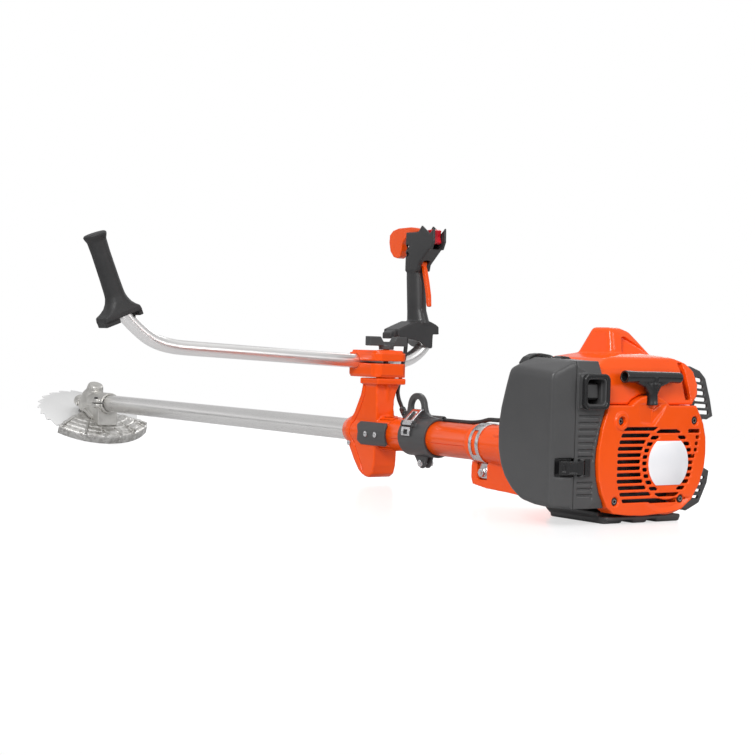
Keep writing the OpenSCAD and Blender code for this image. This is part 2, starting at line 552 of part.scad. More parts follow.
module throttle_trigger() color("orangered") union() {
  exy(hy - 7, hy + 7) polygon([[657, 327.5], [660, 332], [682, 335], [716, 334.5], [732, 331], [741, 324], [742, 312], [738, 297], [728, 287], [717, 284.5], [710, 288], [706, 297], [705, 308], [699, 315.5], [690, 320], [677, 321], [667, 326]]);
  cy(679, 312, hy - 7, hy + 7, 5.5);
  bx([675, hy - 7, 312], [683, hy + 7, 322]);
  cy(679, 312, hy - 12, hy + 12, 2);
}
module throttle_lockout() color("orangered") union() {
  exy(hy - 5, hy + 5) polygon([[650, 272], [657, 272], [656, 264], [648, 240], [644, 222], [641, 206], [635, 202], [629, 206], [631, 222], [638, 244], [646, 264]]);
  cy(654, 274, hy - 5, hy + 5, 4.5);
  cy(654, 274, hy - 12, hy + 12, 2);
}
module stop_switch() color("crimson") union() {
  exy(hy - 8, hy + 8) polygon([[636, 306], [620, 305.5], [616.5, 308], [620, 317], [617.5, 327], [621, 329], [636, 328]]);
  cy(634, 317, hy - 12, hy + 12, 2);
}
// Throttle cable from the handle to the pivot of the handlebar
cable_a = [[655, -60, 146.6], [653.5, -58.5, 143], [648, -54, 134], [642, -48, 122], [638.5, -42, 108], [637, -38.5, 98], [636.3, -37.1, 89.8]];
// Throttle cable from the pivot, along the rear tube to the engine
cable_b = [[636.1, -36.9, 88.2], [635.5, -35.6, 83], [634, -32, 74], [631, -28.8, 64], [625, -27.2, 53], [615, -25, 43.5], [604, -21, 36], [594, -17, 31.5], [584, -13.4, 29], [572, -11.3, 27.8], [560, -11, 27.6], [545, -11, 27.6], [520, -11, 27.6], [470, -11, 27.6], [420, -11, 27.8], [396, -11, 30], [384, -11, 32.5],
  [372, -10, 34.5], [350, -8, 35], [330, -4, 37], [300, 6, 43], [250, 22, 56], [200, 38, 64], [160, 48, 65], [130, 55, 66], [108, 60, 66]];
module cable_upper() color("black") sweep(cable_a, 3.4, 10);
module cable_lower() color("black") union() {
  sweep(cable_b, 3.2, 10, [0, 1, 0]);
  translate([594, -17, 31.5]) rotate([0, 62, -23]) cylinder(h = 16, r = 5.2);
}
// ---------------- Gear head ----------------
module gearbox() color("silver") difference() {
  union() {
    gh() rotate_extrude($fn = 64) polygon([[0, 41.6], [13, 41.6], [15.5, 40], [16.8, 36], [18, 26], [24, 16], [26.5, 4], [26.5, -17], [24, -20], [0, -20]]);
    cx(1622, 1700, 22);
    hull() for (x = [1636, 1650], y = [-23.5, 23.5]) translate([x, y, -9]) cylinder(h = 18, r = 6.5);
    difference() {
      union() { bx([1634, -22, -60], [1690, 22, -8]); gh() bx([-58, -28, -15], [-18, 28, -5]); }
      gh() bx([-160, -140, -80], [140, 140, -11.8]);
    }
    translate([gx + 22, 14, -4]) rotate([0, 66, 0]) cylinder(h = 16, r = 13);
  }
  cx(1600, 190 + tube_l + 0.4, tr + 0.04);
  cx(1660, gx + 2, 12.6);
  gh() translate([0, 0, -21]) cylinder(h = 30, r = 17.06);
  gh() translate([0, 0, 0]) cylinder(h = 22, r = 14);
  for (y = [-20, 20]) gh() translate([-48, y, -30]) cylinder(h = 25, r = 3);
  bx([1615, 12, -1], [1668, 34, 1]);
  bx([1615, -34, -1], [1668, -12, 1]);
  gh() translate([0, 0, -60]) linear_extrude(42) polygon([[-16.8, -12], [-16.8, 12], [-15, 12], [-15, -12]]);
  gh() bx([-140, -140, -60], [140, 140, -20.2]);
}
module gearbox_screws() color("dimgray") {
  for (y = [-23.5, 23.5]) translate([1643, y, 9.02]) cylinder(h = 3.5, r = 3.6);
  for (y = [-20, 20]) gh() translate([-48, y, -17]) { cylinder(h = 12, r = 2.9); cylinder(h = 2, r = 5); }
}
// Straight bevel gear with its cone's point at the origin, opening along +Z
function bp(r, pa, az) = r * [sin(pa) * cos(az), sin(pa) * sin(az), cos(pa)];
module bevel(z, delta, ri, ro, back, bore, ph) difference() {
  union() {
    rotate_extrude() polygon([[0, ri * cos(delta - 4.6)], [ri * sin(delta - 4.6), ri * cos(delta - 4.6)], [ro * sin(delta - 4.6), ro * cos(delta - 4.6)], [ro * sin(delta - 4.6), back], [0, back]]);
    for (i = [0 : z - 1]) rotate([0, 0, ph + 360 * i / z]) let (w = 360 / z * 0.25, v = 360 / z * 0.11)
      polyhedron(points = [bp(ri, delta - 5.4, -w), bp(ri, delta - 5.4, w), bp(ri, delta + 3, v), bp(ri, delta + 3, -v),
        bp(ro, delta - 5.4, -w), bp(ro, delta - 5.4, w), bp(ro, delta + 3, v), bp(ro, delta + 3, -v)],
        faces = [[3, 2, 1, 0], [4, 5, 6, 7], [0, 1, 5, 4], [1, 2, 6, 5], [2, 3, 7, 6], [3, 0, 4, 7]]);
  }
  translate([0, 0, -1]) cylinder(h = back + 2, r = bore);
}
z1 = 13; z2 = 19; rc = 16;
sigma = 90 + ga;
d1 = atan(sin(sigma) / (z2 / z1 + cos(sigma)));
d2 = sigma - d1;
module pinion_gear() color("gray") translate([gx, 0, 0]) rotate([0, -90, 0]) bevel(z1, d1, 10.5, rc, 20, 4, 0);
module driven_gear() color("gray") gh() rotate([0, 180, 0]) bevel(z2, d2, 10.5, rc, 10.5, 5, 0);
module spindle() color("silver") gh() translate([0, 0, -45]) { cylinder(h = 25, r = 5); translate([0, 0, 24.9]) cylinder(h = 19, r = 5); }
module spindle_bearing() color("silver") gh() translate([0, 0, -19.6]) difference() { cylinder(h = 8.6, r = 17); translate([0, 0, -1]) cylinder(h = 11, r = 5.06); }
module drive_flange() color("silver") gh() translate([0, 0, -28.8 + blade_t / 2]) difference() { union() { cylinder(h = 2.4, r = 25); cylinder(h = 6.6, r = 14); } translate([0, 0, -1]) cylinder(h = 12, r = 5); }
function tooth(i) = let (a = 360 * i / blade_teeth, s = 360 / blade_teeth, r = blade_d / 2)
  [for (q = [[r - 7.6, 0.02], [r - 8.2, 0.12], [r - 6, 0.34], [r - 2.2, 0.74], [r, 0.93], [r - 1.2, 0.985]]) [q[0] * cos(a + s * q[1]), q[0] * sin(a + s * q[1])]];
module blade() color("gainsboro") gh() translate([0, 0, -28.8 - blade_t / 2]) linear_extrude(blade_t) difference() {
  polygon([for (i = [0 : blade_teeth - 1]) for (q = tooth(i)) q]);
  circle(r = 10);
}
module support_cup() color("silver") gh() translate([0, 0, -45]) difference() {
  union() {
    translate([0, 0, 16 - blade_t / 2]) cylinder(h = 1.2, r = 9.9);
    rotate_extrude() polygon([[0, 4], [14, 4], [22, 8], [31, 13.5], [31, 16.2 - blade_t / 2], [0, 16.2 - blade_t / 2]]);
    translate([0, 0, 0]) cylinder(h = 8, r = 9, $fn = 6);
  }
  translate([0, 0, -1]) cylinder(h = 30, r = 5);
}
gr = 127; ghi = -14; glo = -36;
module sector(a, r) polygon(concat([[0, 0]], [for (k = [-a : a / 6 : a]) r * [-cos(k), sin(k)]]));
module blade_guard() color("gainsboro") gh() difference() {
  union() {
    intersection() {
      translate([0, 0, glo]) rotate_extrude($fn = 96) polygon([[gr - 3, 0], [gr, 0], [gr, ghi - glo - 8], [gr - 8, ghi - glo - 1], [gr - 22, ghi - glo + 2], [32, ghi - glo + 2], [32, ghi - glo - 1], [gr - 24, ghi - glo - 1], [gr - 12, ghi - glo - 5], [gr - 4, ghi - glo - 12]]);
      translate([0, 0, glo - 10]) linear_extrude(60) sector(54, 200);
    }
    intersection() {
      for (k = [-50, -30, -10, 10, 30, 50]) rotate([0, 0, k]) bx([-gr + 2, -2, ghi + 1], [abs(k) < 20 ? -94 : -66, 2, ghi + 4.5]);
      translate([0, 0, glo - 10]) linear_extrude(60) sector(54, 122);
    }
  }
  for (y = [-20, 20]) translate([-48, y, -40]) cylinder(h = 60, r = 3);
}

place() starter_cover();
place() cover_label();
place() cover_screws();
place() engine_cover();
place() crankcase();
place() engine_cylinder();
place() piston();
place() connecting_rod();
place() spark_plug();
place() muffler();
place() muffler_guard();
place() fuel_tank();
place() fuel_cap();
place() filter_base();
place() filter_element();
place() filter_cover();
place() cover_latch();
place() choke_lever();
place() carburettor();
place() crankshaft();
place() flywheel();
place() clutch_shoes();
place() clutch_drum();
place() starter_pulley();
place() starter_handle();
place() clutch_housing();
place() band_clamp();
place() band_clamp_bolt();
place() rear_tube();
place() shaft_tube();
place() drive_shaft();
place() shaft_bushes();
place() suspension_clamp();
place() suspension_catch();
place() suspension_bolt();
place() handle_post_rear();
place() handle_post_front();
place() post_pad();
place() post_screws();
place() clamp_lower();
place() clamp_upper();
place() clamp_knob();
place() handlebar();
place() left_grip();
place() throttle_handle();
place() throttle_trigger();
place() throttle_lockout();
place() stop_switch();
place() cable_upper();
place() cable_lower();
place() gearbox();
place() gearbox_screws();
place() pinion_gear();
place() driven_gear();
place() spindle();
place() spindle_bearing();
place() drive_flange();
place() blade();
place() support_cup();
place() blade_guard();
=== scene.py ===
import json
import math
import bpy
import bmesh
from mathutils import Vector, Matrix


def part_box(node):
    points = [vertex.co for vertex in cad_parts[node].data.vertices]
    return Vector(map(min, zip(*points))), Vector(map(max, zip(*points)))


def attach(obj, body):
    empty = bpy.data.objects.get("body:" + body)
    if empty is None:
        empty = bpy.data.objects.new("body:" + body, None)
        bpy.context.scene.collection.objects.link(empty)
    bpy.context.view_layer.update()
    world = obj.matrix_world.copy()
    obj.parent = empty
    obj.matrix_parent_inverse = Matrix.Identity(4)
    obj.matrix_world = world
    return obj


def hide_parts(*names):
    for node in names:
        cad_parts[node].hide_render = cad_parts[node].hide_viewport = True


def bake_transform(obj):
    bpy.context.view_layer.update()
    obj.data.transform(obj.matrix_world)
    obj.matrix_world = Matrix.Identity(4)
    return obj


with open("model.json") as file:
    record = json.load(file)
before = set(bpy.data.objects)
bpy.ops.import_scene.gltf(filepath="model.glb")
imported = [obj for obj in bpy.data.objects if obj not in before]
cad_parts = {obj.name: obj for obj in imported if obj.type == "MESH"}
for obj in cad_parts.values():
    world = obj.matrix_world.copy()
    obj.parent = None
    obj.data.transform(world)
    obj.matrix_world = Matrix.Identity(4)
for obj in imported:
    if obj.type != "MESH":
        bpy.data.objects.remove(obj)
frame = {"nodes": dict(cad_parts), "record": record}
REC = frame["record"]
NODES = frame["nodes"]
BODY = {n: b for b, ns in REC["behaviour"]["bodies"].items() for n in ns}
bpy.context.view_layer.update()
OX, OZ = 537.0, 45.0
GX, GA = 1711.8, math.radians(24)


def P(x, y, z):
    """Shaft-frame millimetres to row-frame metres."""
    return Vector(((x - OX) / 1000.0, y / 1000.0, (z - OZ) / 1000.0))


# ------------------------------------------------------------------ camera, light, floor
def make_camera():
    th, p, r = math.radians(35.13), math.radians(1.14), math.radians(1.69)
    d = Vector((math.cos(th) * math.cos(p), -math.sin(th) * math.cos(p), -math.sin(p)))
    r0 = d.cross(Vector((0, 0, 1))).normalized()
    u0 = r0.cross(d)
    rt = math.cos(r) * r0 + math.sin(r) * u0
    up = -math.sin(r) * r0 + math.cos(r) * u0
    cam = bpy.data.cameras.new("camera")
    cam.sensor_fit = "HORIZONTAL"
    cam.sensor_width = 36.0
    cam.lens = 36.0 * 1590.0 / 755.0
    cam.clip_start, cam.clip_end = 0.05, 60
    o = bpy.data.objects.new("camera", cam)
    bpy.context.scene.collection.objects.link(o)
    m = Matrix.Identity(4)
    for i in range(3):
        m[i][0], m[i][1], m[i][2] = rt[i], up[i], -d[i]
    m.translation = P(-1437.70, 1467.41, 137.95)
    o.matrix_world = m
    bpy.context.scene.camera = o
    return o


def area(name, loc, target, size, power, col=(1, 1, 1), size_y=None):
    l = bpy.data.lights.new(name, "AREA")
    l.shape = "RECTANGLE"
    l.size, l.size_y = size, size_y or size
    l.energy = power
    l.color = col
    o = bpy.data.objects.new(name, l)
    o.location = Vector(loc)
    o.rotation_euler = (Vector(target) - Vector(loc)).to_track_quat("-Z", "Y").to_euler()
    bpy.context.scene.collection.objects.link(o)
    return o


make_camera()
sc = bpy.context.scene
sc.view_settings.view_transform = "Standard"
sc.view_settings.look = "None"
sc.view_settings.exposure = 0.0
w = bpy.data.worlds.new("studio")
sc.world = w
w.use_nodes = True
wt = w.node_tree
bgn = wt.nodes["Background"]
geo = wt.nodes.new("ShaderNodeTexCoord")
sepw = wt.nodes.new("ShaderNodeSeparateXYZ")
wt.links.new(geo.outputs["Generated"], sepw.inputs[0])
rw = wt.nodes.new("ShaderNodeValToRGB")
for i, (pos, v) in enumerate([(0.0, 0.12), (1.0, 0.95)]):
    rw.color_ramp.elements[i].position = pos
    rw.color_ramp.elements[i].color = (v, v, v, 1)
for pos, v in ((0.03, 0.30), (0.10, 0.98), (0.26, 0.52), (0.6, 0.50)):
    e = rw.color_ramp.elements.new(pos)
    e.color = (v, v, v * 1.01, 1)
wt.links.new(sepw.outputs["Z"], rw.inputs["Fac"])
lpn = wt.nodes.new("ShaderNodeLightPath")
mixw = wt.nodes.new("ShaderNodeMix")
mixw.data_type = "RGBA"
wt.links.new(lpn.outputs["Is Camera Ray"], mixw.inputs["Factor"])
wt.links.new(rw.outputs["Color"], mixw.inputs[6])
mixw.inputs[7].default_value = (1.0, 1.0, 1.0, 1)
wt.links.new(mixw.outputs[2], bgn.inputs[0])
bgn.inputs[1].default_value = 1.0
area("key", (-2.0, 2.7, 1.9), (0.0, 0.1, 0), 1.1, 76)
area("top", (-0.2, 0.5, 3.2), (0.2, 0, 0), 1.6, 7)
area("rim", (1.6, -2.4, 1.9), (0.5, 0, 0), 1.2, 12)
area("back_fill", (-2.6, -0.6, 0.9), (-0.4, 0, 0), 0.9, 12)


# ------------------------------------------------------------------ materials
def nt(name):
    m = bpy.data.materials.new(name)
    m.use_nodes = True
    t = m.node_tree
    return m, t, t.nodes["Principled BSDF"]


def coords(t, scale=(1, 1, 1)):
    tc = t.nodes.new("ShaderNodeTexCoord")
    mp = t.nodes.new("ShaderNodeMapping")
    mp.inputs["Scale"].default_value = scale
    t.links.new(tc.outputs["Object"], mp.inputs["Vector"])
    return mp.outputs["Vector"]


def noise(t, vec, scale, detail=3.0, rough=0.55):
    n = t.nodes.new("ShaderNodeTexNoise")
    n.inputs["Scale"].default_value = scale
    n.inputs["Detail"].default_value = detail
    n.inputs["Roughness"].default_value = rough
    t.links.new(vec, n.inputs["Vector"])
    return n.outputs["Fac"]


def ramp(t, fac, stops):
    r = t.nodes.new("ShaderNodeValToRGB")
    e = r.color_ramp.elements
    e[0].position, e[0].color = stops[0][0], (*stops[0][1], 1)
    e[1].position, e[1].color = stops[-1][0], (*stops[-1][1], 1)
    for pos, c in stops[1:-1]:
        k = e.new(pos)
        k.color = (*c, 1)
    t.links.new(fac, r.inputs["Fac"])
    return r.outputs["Color"]


def mrange(t, fac, a, b, fa=0.3, fb=0.7):
    n = t.nodes.new("ShaderNodeMapRange")
    for k, v in (("From Min", fa), ("From Max", fb), ("To Min", a), ("To Max", b)):
        n.inputs[k].default_value = v
    t.links.new(fac, n.inputs["Value"])
    return n.outputs["Result"]


def bump(t, bsdf, height, strength, dist=0.0002, chain=None):
    b = t.nodes.new("ShaderNodeBump")
    b.inputs["Strength"].default_value = strength
    b.inputs["Distance"].default_value = dist
    t.links.new(height, b.inputs["Height"])
    if chain is not None:
        t.links.new(chain, b.inputs["Normal"])
    t.links.new(b.outputs["Normal"], bsdf.inputs["Normal"])
    return b.outputs["Normal"]


def surface(name, c1, c2, rough=(0.3, 0.4), metallic=0.0, coat=0.0, var_scale=14, grain=1800, grain_strength=0.15,
            grain_dist=0.0001, stretch=(1, 1, 1), broad=0.0, broad_scale=120, coat_rough=0.08, spec=0.5, cell=False, aniso=0.0):
    m, t, b = nt(name)
    v = coords(t)
    vs = coords(t, stretch)
    n1 = noise(t, v, var_scale, 4)
    t.links.new(ramp(t, n1, [(0.32, c1), (0.68, c2)]), b.inputs["Base Color"])
    n2 = noise(t, vs, grain, 3)
    t.links.new(mrange(t, noise(t, vs, grain * 0.25 if stretch == (1, 1, 1) else grain, 2), rough[0], rough[1]), b.inputs["Roughness"])
    b.inputs["Metallic"].default_value = metallic
    b.inputs["Specular IOR Level"].default_value = spec
    if coat:
        b.inputs["Coat Weight"].default_value = coat
        b.inputs["Coat Roughness"].default_value = coat_rough
    if aniso:
        b.inputs["Anisotropic"].default_value = aniso
    h = n2
    if cell:
        vo = t.nodes.new("ShaderNodeTexVoronoi")
        vo.inputs["Scale"].default_value = grain
        t.links.new(vs, vo.inputs["Vector"])
        h = vo.outputs["Distance"]
    nrm = bump(t, b, h, grain_strength, grain_dist)
    if broad:
        bump(t, b, noise(t, v, broad_scale, 2), broad, 0.0008, nrm)
    return m


M = {}
M["orange_plastic"] = surface("orange_gloss", (0.92, 0.088, 0.0035), (0.97, 0.100, 0.0045), (0.19, 0.24), coat=0.0, var_scale=9, grain=400, grain_strength=0.02, grain_dist=0.00002, spec=0.40)
M["grey_plastic"] = surface("grey_grained", (0.056, 0.056, 0.057), (0.066, 0.066, 0.067), (0.34, 0.42), var_scale=12, grain=2600, grain_strength=0.12, grain_dist=0.00006, cell=True)
M["black_plastic"] = surface("black_satin", (0.014, 0.014, 0.0145), (0.019, 0.019, 0.020), (0.22, 0.27), var_scale=20, grain=2200, grain_strength=0.05, grain_dist=0.00004)
M["grip_rubber"] = surface("grip_rubber", (0.020, 0.020, 0.0205), (0.028, 0.028, 0.029), (0.48, 0.60), var_scale=25, grain=1500, grain_strength=0.35, grain_dist=0.0002, cell=True)
M["cable_jacket"] = surface("cable_jacket", (0.018, 0.018, 0.019), (0.028, 0.028, 0.029), (0.38, 0.5), var_scale=40, grain=1200, grain_strength=0.12)
M["label_white"] = surface("label_white", (0.86, 0.87, 0.90), (0.91, 0.91, 0.93), (0.16, 0.22), coat=0.3, var_scale=30, grain=900, grain_strength=0.03)
M["white_plastic"] = surface("white_plastic", (0.78, 0.78, 0.74), (0.84, 0.84, 0.81), (0.3, 0.4), grain=900, grain_strength=0.1)
M["filter_felt"] = surface("filter_felt", (0.62, 0.60, 0.52), (0.76, 0.74, 0.66), (0.8, 0.95), var_scale=120, grain=1300, grain_strength=0.8, grain_dist=0.0005)
M["switch_red"] = surface("switch_red", (0.55, 0.004, 0.014), (0.66, 0.006, 0.020), (0.22, 0.3), coat=0.2, var_scale=60, grain=900, grain_strength=0.06)
M["tube_aluminium"] = surface("tube_drawn_x", (0.90, 0.89, 0.875), (0.95, 0.94, 0.925), (0.26, 0.38), metallic=1.0, var_scale=5, grain=2600, grain_strength=0.12, stretch=(0.012, 1, 1))
M["bar_aluminium"] = surface("tube_drawn_y", (0.90, 0.89, 0.88), (0.95, 0.94, 0.93), (0.28, 0.34), metallic=1.0, var_scale=5, grain=300, grain_strength=0.02)
M["cast_aluminium"] = surface("cast_blasted", (0.52, 0.51, 0.485), (0.66, 0.65, 0.62), (0.34, 0.48), metallic=0.85, var_scale=60, grain=1400, grain_strength=0.45, grain_dist=0.0002, broad=0.25, broad_scale=160)
M["guard_cast"] = surface("guard_rough_cast", (0.42, 0.41, 0.39), (0.78, 0.77, 0.75), (0.24, 0.46), metallic=0.97, var_scale=110, grain=420, grain_strength=0.7, grain_dist=0.0007, broad=0.6, broad_scale=70)
M["zinc_steel"] = surface("zinc_plate", (0.62, 0.62, 0.63), (0.78, 0.78, 0.79), (0.18, 0.30), metallic=1.0, var_scale=120, grain=1200, grain_strength=0.1)
M["black_screw"] = surface("blackened_steel", (0.025, 0.025, 0.026), (0.05, 0.05, 0.052), (0.28, 0.4), metallic=0.7, var_scale=200, grain=1600, grain_strength=0.15)
M["machined_steel"] = surface("machined_steel", (0.48, 0.48, 0.48), (0.60, 0.60, 0.61), (0.22, 0.34), metallic=1.0, var_scale=50, grain=1800, grain_strength=0.12)
M["muffler_steel"] = surface("muffler_heat", (0.13, 0.10, 0.08), (0.26, 0.23, 0.22), (0.35, 0.55), metallic=0.9, var_scale=30, grain=900, grain_strength=0.2)


def blade_material():
    """Ground steel: fine rings about the spindle."""
    m, t, b = nt("blade_ground")
    tc = t.nodes.new("ShaderNodeTexCoord")
    mp = t.nodes.new("ShaderNodeMapping")
    mp.vector_type = "TEXTURE"
    mp.inputs["Location"].default_value = P(GX, 0, 0)
    mp.inputs["Rotation"].default_value = (0, -GA, 0)
    t.links.new(tc.outputs["Object"], mp.inputs["Vector"])
    sep = t.nodes.new("ShaderNodeSeparateXYZ")
    t.links.new(mp.outputs["Vector"], sep.inputs[0])
    cmb = t.nodes.new("ShaderNodeCombineXYZ")
    t.links.new(sep.outputs["X"], cmb.inputs["X"])
    t.links.new(sep.outputs["Y"], cmb.inputs["Y"])
    ln = t.nodes.new("ShaderNodeVectorMath")
    ln.operation = "LENGTH"
    t.links.new(cmb.outputs[0], ln.inputs[0])
    c2 = t.nodes.new("ShaderNodeCombineXYZ")
    t.links.new(ln.outputs["Value"], c2.inputs["X"])
    rings = noise(t, c2.outputs[0], 1500, 3)
    t.links.new(ramp(t, rings, [(0.3, (0.88, 0.88, 0.88)), (0.7, (0.97, 0.97, 0.96))]), b.inputs["Base Color"])
    t.links.new(mrange(t, rings, 0.26, 0.40), b.inputs["Roughness"])
    b.inputs["Metallic"].default_value = 0.6
    bump(t, b, rings, 0.12, 0.0001)
    return m


M["handle_plastic"] = surface("handle_moulded", (0.030, 0.030, 0.031), (0.038, 0.038, 0.039), (0.30, 0.38), var_scale=16, grain=2600, grain_strength=0.08, grain_dist=0.00005)
M["blade_steel"] = blade_material()
SLOT = {s["node"]: s["material_slot"] for s in REC["subparts"]}


def paint(o, key):
    o.data.materials.clear()
    o.data.materials.append(M[key])
    return o


# ------------------------------------------------------------------ mesh helpers
def link(o):
    bpy.context.scene.collection.objects.link(o)
    return o


def from_bm(name, bm):
    me = bpy.data.meshes.new(name)
    bm.to_mesh(me)
    bm.free()
    return link(bpy.data.objects.new(name, me))


def cad_copy(nodes, name):
    bm = bmesh.new()
    for n in nodes:
        bm.from_mesh(NODES[n].data)
    bmesh.ops.remove_doubles(bm, verts=bm.verts, dist=2e-6)
    return from_bm(name, bm)


def prism(pts, a, b, axis):
    """Closed prism of an outline. axis x: points are (y, z); axis y: (x, z); axis z: (x, y). Shaft-frame mm."""
    bm = bmesh.new()

    def v(p, t):
        if axis == "x":
            return P(t, p[0], p[1])
        if axis == "y":
            return P(p[0], t, p[1])
        return P(p[0], p[1], t)
    A = [bm.verts.new(v(p, a)) for p in pts]
    B = [bm.verts.new(v(p, b)) for p in pts]
    n = len(pts)
    bm.faces.new(A)
    bm.faces.new(B[::-1])
    for i in range(n):
        bm.faces.new((A[i], B[i], B[(i + 1) % n], A[(i + 1) % n]))
    bmesh.ops.recalc_face_normals(bm, faces=bm.faces)
    return from_bm("tmp", bm)


def box(a, b):
    return prism([(a[0], a[1]), (b[0], a[1]), (b[0], b[1]), (a[0], b[1])], a[2], b[2], "z")


def rod(p0, p1, r0, r1=None, seg=48):
    """Cylinder or cone between two points given in shaft-frame mm."""
    r1 = r0 if r1 is None else r1
    a, b = P(*p0), P(*p1)
    d = b - a
    bm = bmesh.new()
    bmesh.ops.create_cone(bm, cap_ends=True, cap_tris=False, segments=seg, radius1=r0 / 1000, radius2=r1 / 1000, depth=d.length)
    bm.transform(Matrix.Translation((a + b) / 2) @ d.to_track_quat("Z", "Y").to_matrix().to_4x4())
    return from_bm("tmp", bm)


def ball(c, r, sx=1, sy=1, sz=1):
    bm = bmesh.new()
    bmesh.ops.create_icosphere(bm, subdivisions=4, radius=r / 1000)
    bm.transform(Matrix.Translation(P(*c)) @ Matrix.Diagonal((sx, sy, sz, 1)))
    return from_bm("tmp", bm)


def smooth_path(pts, per=10):
    """Catmull-Rom points through shaft-frame points."""
    p = [Vector(q) for q in pts]
    p = [p[0] * 2 - p[1]] + p + [p[-1] * 2 - p[-2]]
    out = []
    for i in range(1, len(p) - 2):
        for k in range(per):
            t = k / per
            a, b, c, d = p[i - 1], p[i], p[i + 1], p[i + 2]
            out.append(0.5 * ((2 * b) + (c - a) * t + (2 * a - 5 * b + 4 * c - d) * t * t + (3 * b - a - 3 * c + d) * t ** 3))
    out.append(p[-2])
    return out


def tube(name, pts, r, seg=28, per=8, cap=0.0):
    """Swept tube along shaft-frame points. r is a radius or a function of the fraction along it."""
    path = smooth_path(pts, per)
    rf = r if callable(r) else (lambda t: r)
    bm = bmesh.new()
    rings = []
    t0 = (path[1] - path[0]).normalized()
    s = t0.orthogonal().normalized()
    for i, q in enumerate(path):
        t = (path[min(i + 1, len(path) - 1)] - path[max(i - 1, 0)]).normalized()
        s = (s - t * s.dot(t)).normalized()
        u = t.cross(s)
        rr = rf(i / (len(path) - 1))
        rings.append([bm.verts.new(P(*(q + rr * (math.cos(2 * math.pi * k / seg) * s + math.sin(2 * math.pi * k / seg) * u)))) for k in range(seg)])
    for a, b in zip(rings, rings[1:]):
        for k in range(seg):
            bm.faces.new((a[k], a[(k + 1) % seg], b[(k + 1) % seg], b[k]))
    bm.faces.new(rings[0][::-1])
    bm.faces.new(rings[-1])
    bmesh.ops.recalc_face_normals(bm, faces=bm.faces)
    o = from_bm(name, bm)
    o.data.shade_smooth()
    return o


def rrect(a0, a1, b0, b1, r, n=6):
    out = []
    for ca, cb, s in ((a1 - r, b1 - r, 0), (a0 + r, b1 - r, 90), (a0 + r, b0 + r, 180), (a1 - r, b0 + r, 270)):
        for k in range(n + 1):
            t = math.radians(s + 90 * k / n)
            out.append((ca + r * math.cos(t), cb + r * math.sin(t)))
    return out


def loft(rings):
    """Closed solid through rings of points with the same count."""
    bm = bmesh.new()
    R = [[bm.verts.new(q) for q in ring] for ring in rings]
    n = len(R[0])
    for a, b in zip(R, R[1:]):
        for k in range(n):
            bm.faces.new((a[k], a[(k + 1) % n], b[(k + 1) % n], b[k]))
    bm.faces.new(R[0][::-1])
    bm.faces.new(R[-1])
    bmesh.ops.recalc_face_normals(bm, faces=bm.faces)
    return from_bm("tmp", bm)


def grip_point(u, v, w):
    """Point in the left grip's own axes: u forward, v outwards, w up the grip."""
    c, s = math.cos(math.radians(21.8)), math.sin(math.radians(21.8))
    return P(665 + u, 451 + v * c + w * s, 186 - v * s + w * c)


def apply(o):
    dg = bpy.context.evaluated_depsgraph_get()
    me = bpy.data.meshes.new_from_object(o.evaluated_get(dg))
    old = o.data
    o.modifiers.clear()
    o.data = me
    bpy.data.meshes.remove(old)
    return o


def join(objs, name):
    bm = bmesh.new()
    for o in objs:
        bm.from_mesh(o.data)
    for o in objs:
        bpy.data.objects.remove(o)
    return from_bm(name, bm)


def cut(o, tools):
    for t in tools:
        m = o.modifiers.new("cut", "BOOLEAN")
        m.operation, m.solver, m.object = "DIFFERENCE", "EXACT", t
    apply(o)
    for t in tools:
        bpy.data.objects.remove(t)
    return o


def add(o, tools):
    for t in tools:
        m = o.modifiers.new("add", "BOOLEAN")
        m.operation, m.solver, m.object = "UNION", "EXACT", t
    apply(o)
    for t in tools:
        bpy.data.objects.remove(t)
    return o


def keep(o, tools):
    for t in tools:
        m = o.modifiers.new("keep", "BOOLEAN")
        m.operation, m.solver, m.object = "INTERSECT", "EXACT", t
    apply(o)
    for t in tools:
        bpy.data.objects.remove(t)
    return o


def melt(o, vox, it, factor=0.5):
    """Rounds every edge and fillets every joint of a closed solid: fine remesh, then relaxed."""
    m = o.modifiers.new("remesh", "REMESH")
    m.mode = "VOXEL"
    m.voxel_size = vox / 1000.0
    m.adaptivity = 0.0
    s = o.modifiers.new("relax", "SMOOTH")
    s.factor, s.iterations = factor, it
    apply(o)
    o.data.shade_smooth()
    return o


def finish_piece(o, nodes, key, body=None):
    o.name = nodes[0] + "_look"
    o.data.name = o.name
    paint(o, key)
    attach(o, body or BODY[nodes[0]])
    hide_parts(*nodes)
    return o


# ------------------------------------------------------------------ plain CAD nodes: materials and fine edges
for n, o in NODES.items():
    paint(o, SLOT[n])
    wd = o.modifiers.new("weld", "WELD")
    wd.merge_threshold = 2e-6
    bv = o.modifiers.new("edges", "BEVEL")
    bv.width = 0.0004
    bv.segments = 2
    bv.limit_method = "ANGLE"
    bv.angle_limit = math.radians(38)
    bv.harden_normals = True
    bv.use_clamp_overlap = True
    for p in o.data.polygons:
        p.use_smooth = True

